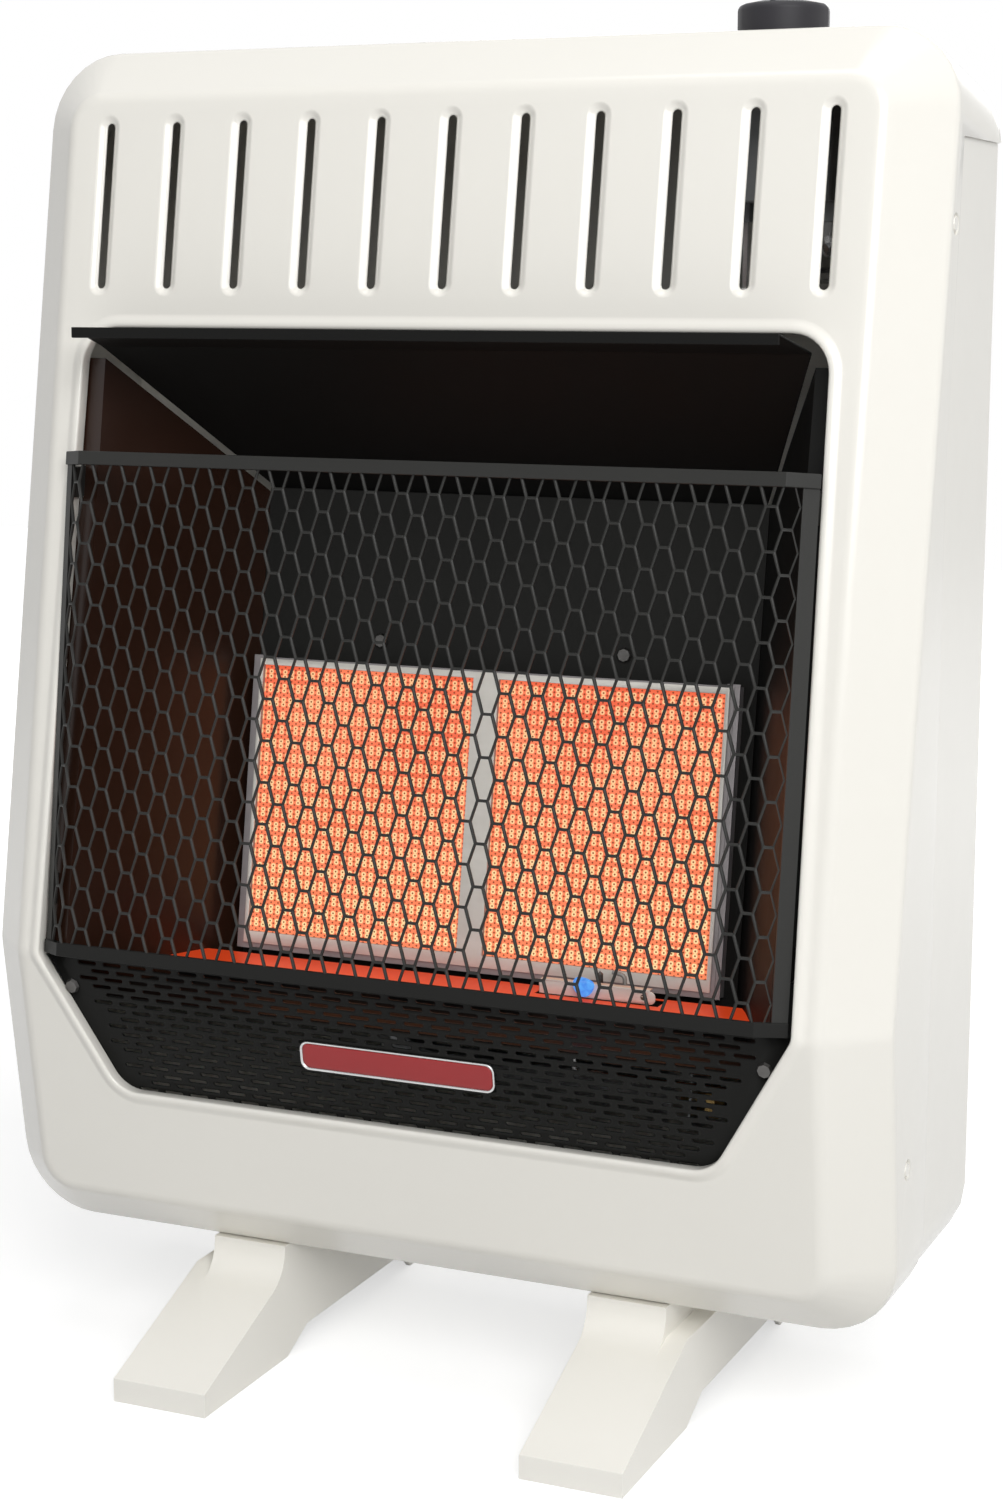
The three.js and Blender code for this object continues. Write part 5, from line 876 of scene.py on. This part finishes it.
column, row = (grid.ravel() for grid in np.meshgrid(columns, rows, indexing="ij"))
middle_s = first_column + column * column_step
middle_z = first_opening + row * row_step + (column % 2) * row_step / 2
inside = (middle_s > solid_from[0] - reach_left) & (middle_s < solid_from[1] - reach_right)
inside &= (middle_z > screen_low - reach_tall) & (middle_z < screen_high + reach_tall)
middles = np.stack([middle_s[inside], middle_z[inside]], -1)
strand_rings = [(0, 0), (strand / 2, strand_round), (strand / 2, screen_sheet - strand_round), (0, screen_sheet)]
ring_points = []
for inset, back in strand_rings:
    outline = middles[:, None, :] + opening_outline(inset)[None]
    s = np.clip(outline[..., 0], *solid_from)
    z = np.clip(outline[..., 1], screen_low, screen_high)
    lift = strand_tilt * np.sign(inset) * (outline[..., 1] - middles[:, None, 1]) / (row_step / 2)
    ring_points.append(along_guard(s, back - lift, z))
wing_end = screen_half + math.hypot(wing_out, wing_back) - wing_gap
screen_parts = [repeated(np.stack(ring_points, 1), flip=True),
                margin_band(-wing_end, solid_from[0]), margin_band(solid_from[1], wing_end)]
screen_parts += [guard_tab(side, rise) for side in (-1, 1) for rise in tab_heights]
screen = add_piece("expanded_screen", screen_parts, "guard", satin_black, smooth=False)
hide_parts("guard_screen")
dress(satin_black, "guard_top_rail")
dress(satin_black_painted_shade, "guard_bottom_rail")
ease_folds("guard_top_rail", "guard_bottom_rail", radius=0.0005)

# Lower panel
# A raking black sheet under the guard, pierced by rows of short level slots whose edges are drawn
# in, with a flange at the top that holds the firebox's floor. Small screws hold its slanted ends.
panel_foot = crease + Vector((0, 0.0053, 0))
panel_top_half, panel_low_half, panel_fall = 0.1956, 0.1620, 0.0777
pierce_step, pierce_row, first_pierced = 0.0145, 0.00412, 0.0036
pierce_half, pierce_tall = 0.00525, 0.00085
pierce_lip, pierce_sunk = 0.0008, 0.0005
pierce_rows, pierce_columns, plain_margin = 17, np.arange(-14, 15), 0.0105
top_flange = np.array([(0.003, 0.012, 0), (-0.003, 0.012, 0)])

pierce_number = np.arange(pierce_rows)[:, None]
pierced_x, pierced_fall = (grid.ravel() for grid in np.broadcast_arrays(
    (pierce_columns[None] + (pierce_number % 2) / 2) * pierce_step, first_pierced + pierce_number * pierce_row))
half_there = panel_top_half + (panel_low_half - panel_top_half) * pierced_fall / panel_fall
held = np.abs(pierced_x) + pierce_half < half_there - plain_margin
centres = np.stack([pierced_x[held], -pierced_fall[held]], -1)
pierced_rings = []
for away, sunk in zip(*pressed_lip([1, 0.55, 0.2, 0], pierce_lip, pierce_sunk)):
    level_slot = capsule(pierce_tall + away, pierce_half + away, 4)[:, ::-1]
    pierced_rings.append(np.insert(centres[:, None, :] + level_slot[None], 1, sunk, axis=2))
pierced = lean_back(np.stack(pierced_rings, 1), panel_foot, -face_rake)
panel_edge = lean_back([(-panel_top_half, 0, 0), (panel_top_half, 0, 0), (panel_low_half, 0, -panel_fall),
                        (-panel_low_half, 0, -panel_fall)], panel_foot, -face_rake)
flange_sheet = (np.concatenate([panel_edge[:2], panel_edge[:2] + top_flange]), np.array([[0, 1, 3, 2]]))
pierced_black = coated("pierced_black", (0.0055, 0.0055, 0.005), (0.009, 0.009, 0.0082), (0.4, 0.55),
                       (300, 0.00004), shine=0.12)
panel_sheets = [filled([panel_edge, *pierced[:, 0]], [0, 2]), repeated(pierced), flange_sheet]
pierced_panel = add_piece("pierced_panel", panel_sheets, "cabinet", pierced_black,
                          towards=(0, -1, 0))
give_wall(pierced_panel, sheet)
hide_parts("louver_panel")
dress(dull_screw, "louver_screw_left", "louver_screw_right")

# Badge
# A small blank plate at the middle of the lower panel: red enamel in a bright raised rim. Each part
# is given as rings drawn in from the outline and lifted off the panel.
badge_middle, badge_size = (-0.003, -0.0385), (0.104, 0.015)
badge_round, badge_gap = 0.6, 0.00002
badge_thick, badge_rim = 0.0016, 0.0011
rim_step = badge_rim / 4
rim_profile = [(rim_step, 0.0001), (0, rim_step), (0, badge_thick - rim_step), (rim_step, badge_thick),
               (2 * rim_step, badge_thick), (badge_rim, badge_thick - rim_step), (badge_rim, badge_thick / 2)]
face_profile = [(badge_rim + badge_gap, badge_thick / 2 + badge_gap), (badge_rim + badge_gap, badge_thick * 0.6),
                (2 * badge_rim, badge_thick * 0.72), (4 * badge_rim, badge_thick * 0.78)]


def badge_ring(inset, lift):
    """Round-cornered outline of the plate, drawn in by inset and standing off the panel by lift."""
    wide, tall = (size / 2 - inset for size in badge_size)
    corners = [(x * wide, z * tall, tall * badge_round) for x, z in ((1, -1), (1, 1), (-1, 1), (-1, -1))]
    loop = rounded_loop(corners, 0.0) + np.array(badge_middle)
    return lean_back(np.insert(loop, 1, -lift, axis=1), panel_foot, -face_rake)


def badge_part(name, profile, finish):
    """A ringed part of the plate with a flat middle in front and behind."""
    rings = np.stack([badge_ring(inset, lift) for inset, lift in profile])
    sheets = [repeated(rings[None]), filled([rings[-1]], [0, 2]), filled([rings[0]], [0, 2])]
    return add_piece(name, sheets, "cabinet", finish, closed=True)


badge_enamel = coated("badge_enamel", (0.36, 0.012, 0.014), (0.30, 0.008, 0.010), (0.16, 0.26), (200, 0.00001))
badge_part("badge_rim", rim_profile, bright_steel)
badge_part("badge_face", face_profile, badge_enamel)

# Feet
# Two cream mouldings under the cabinet, each screwed up into its bottom.
foot_plastic = coated("foot_plastic", (0.93, 0.91, 0.85), (0.91, 0.89, 0.83), (0.34, 0.42), (500, 0.00001))
dress(foot_plastic, "foot_left", "foot_right")
ease_folds("foot_left", "foot_right", radius=0.0018)
foot_screws = [f"foot_screw_{side}_{end}" for side in ("right", "left") for end in ("front", "rear")]
dress(bright_steel, *foot_screws)
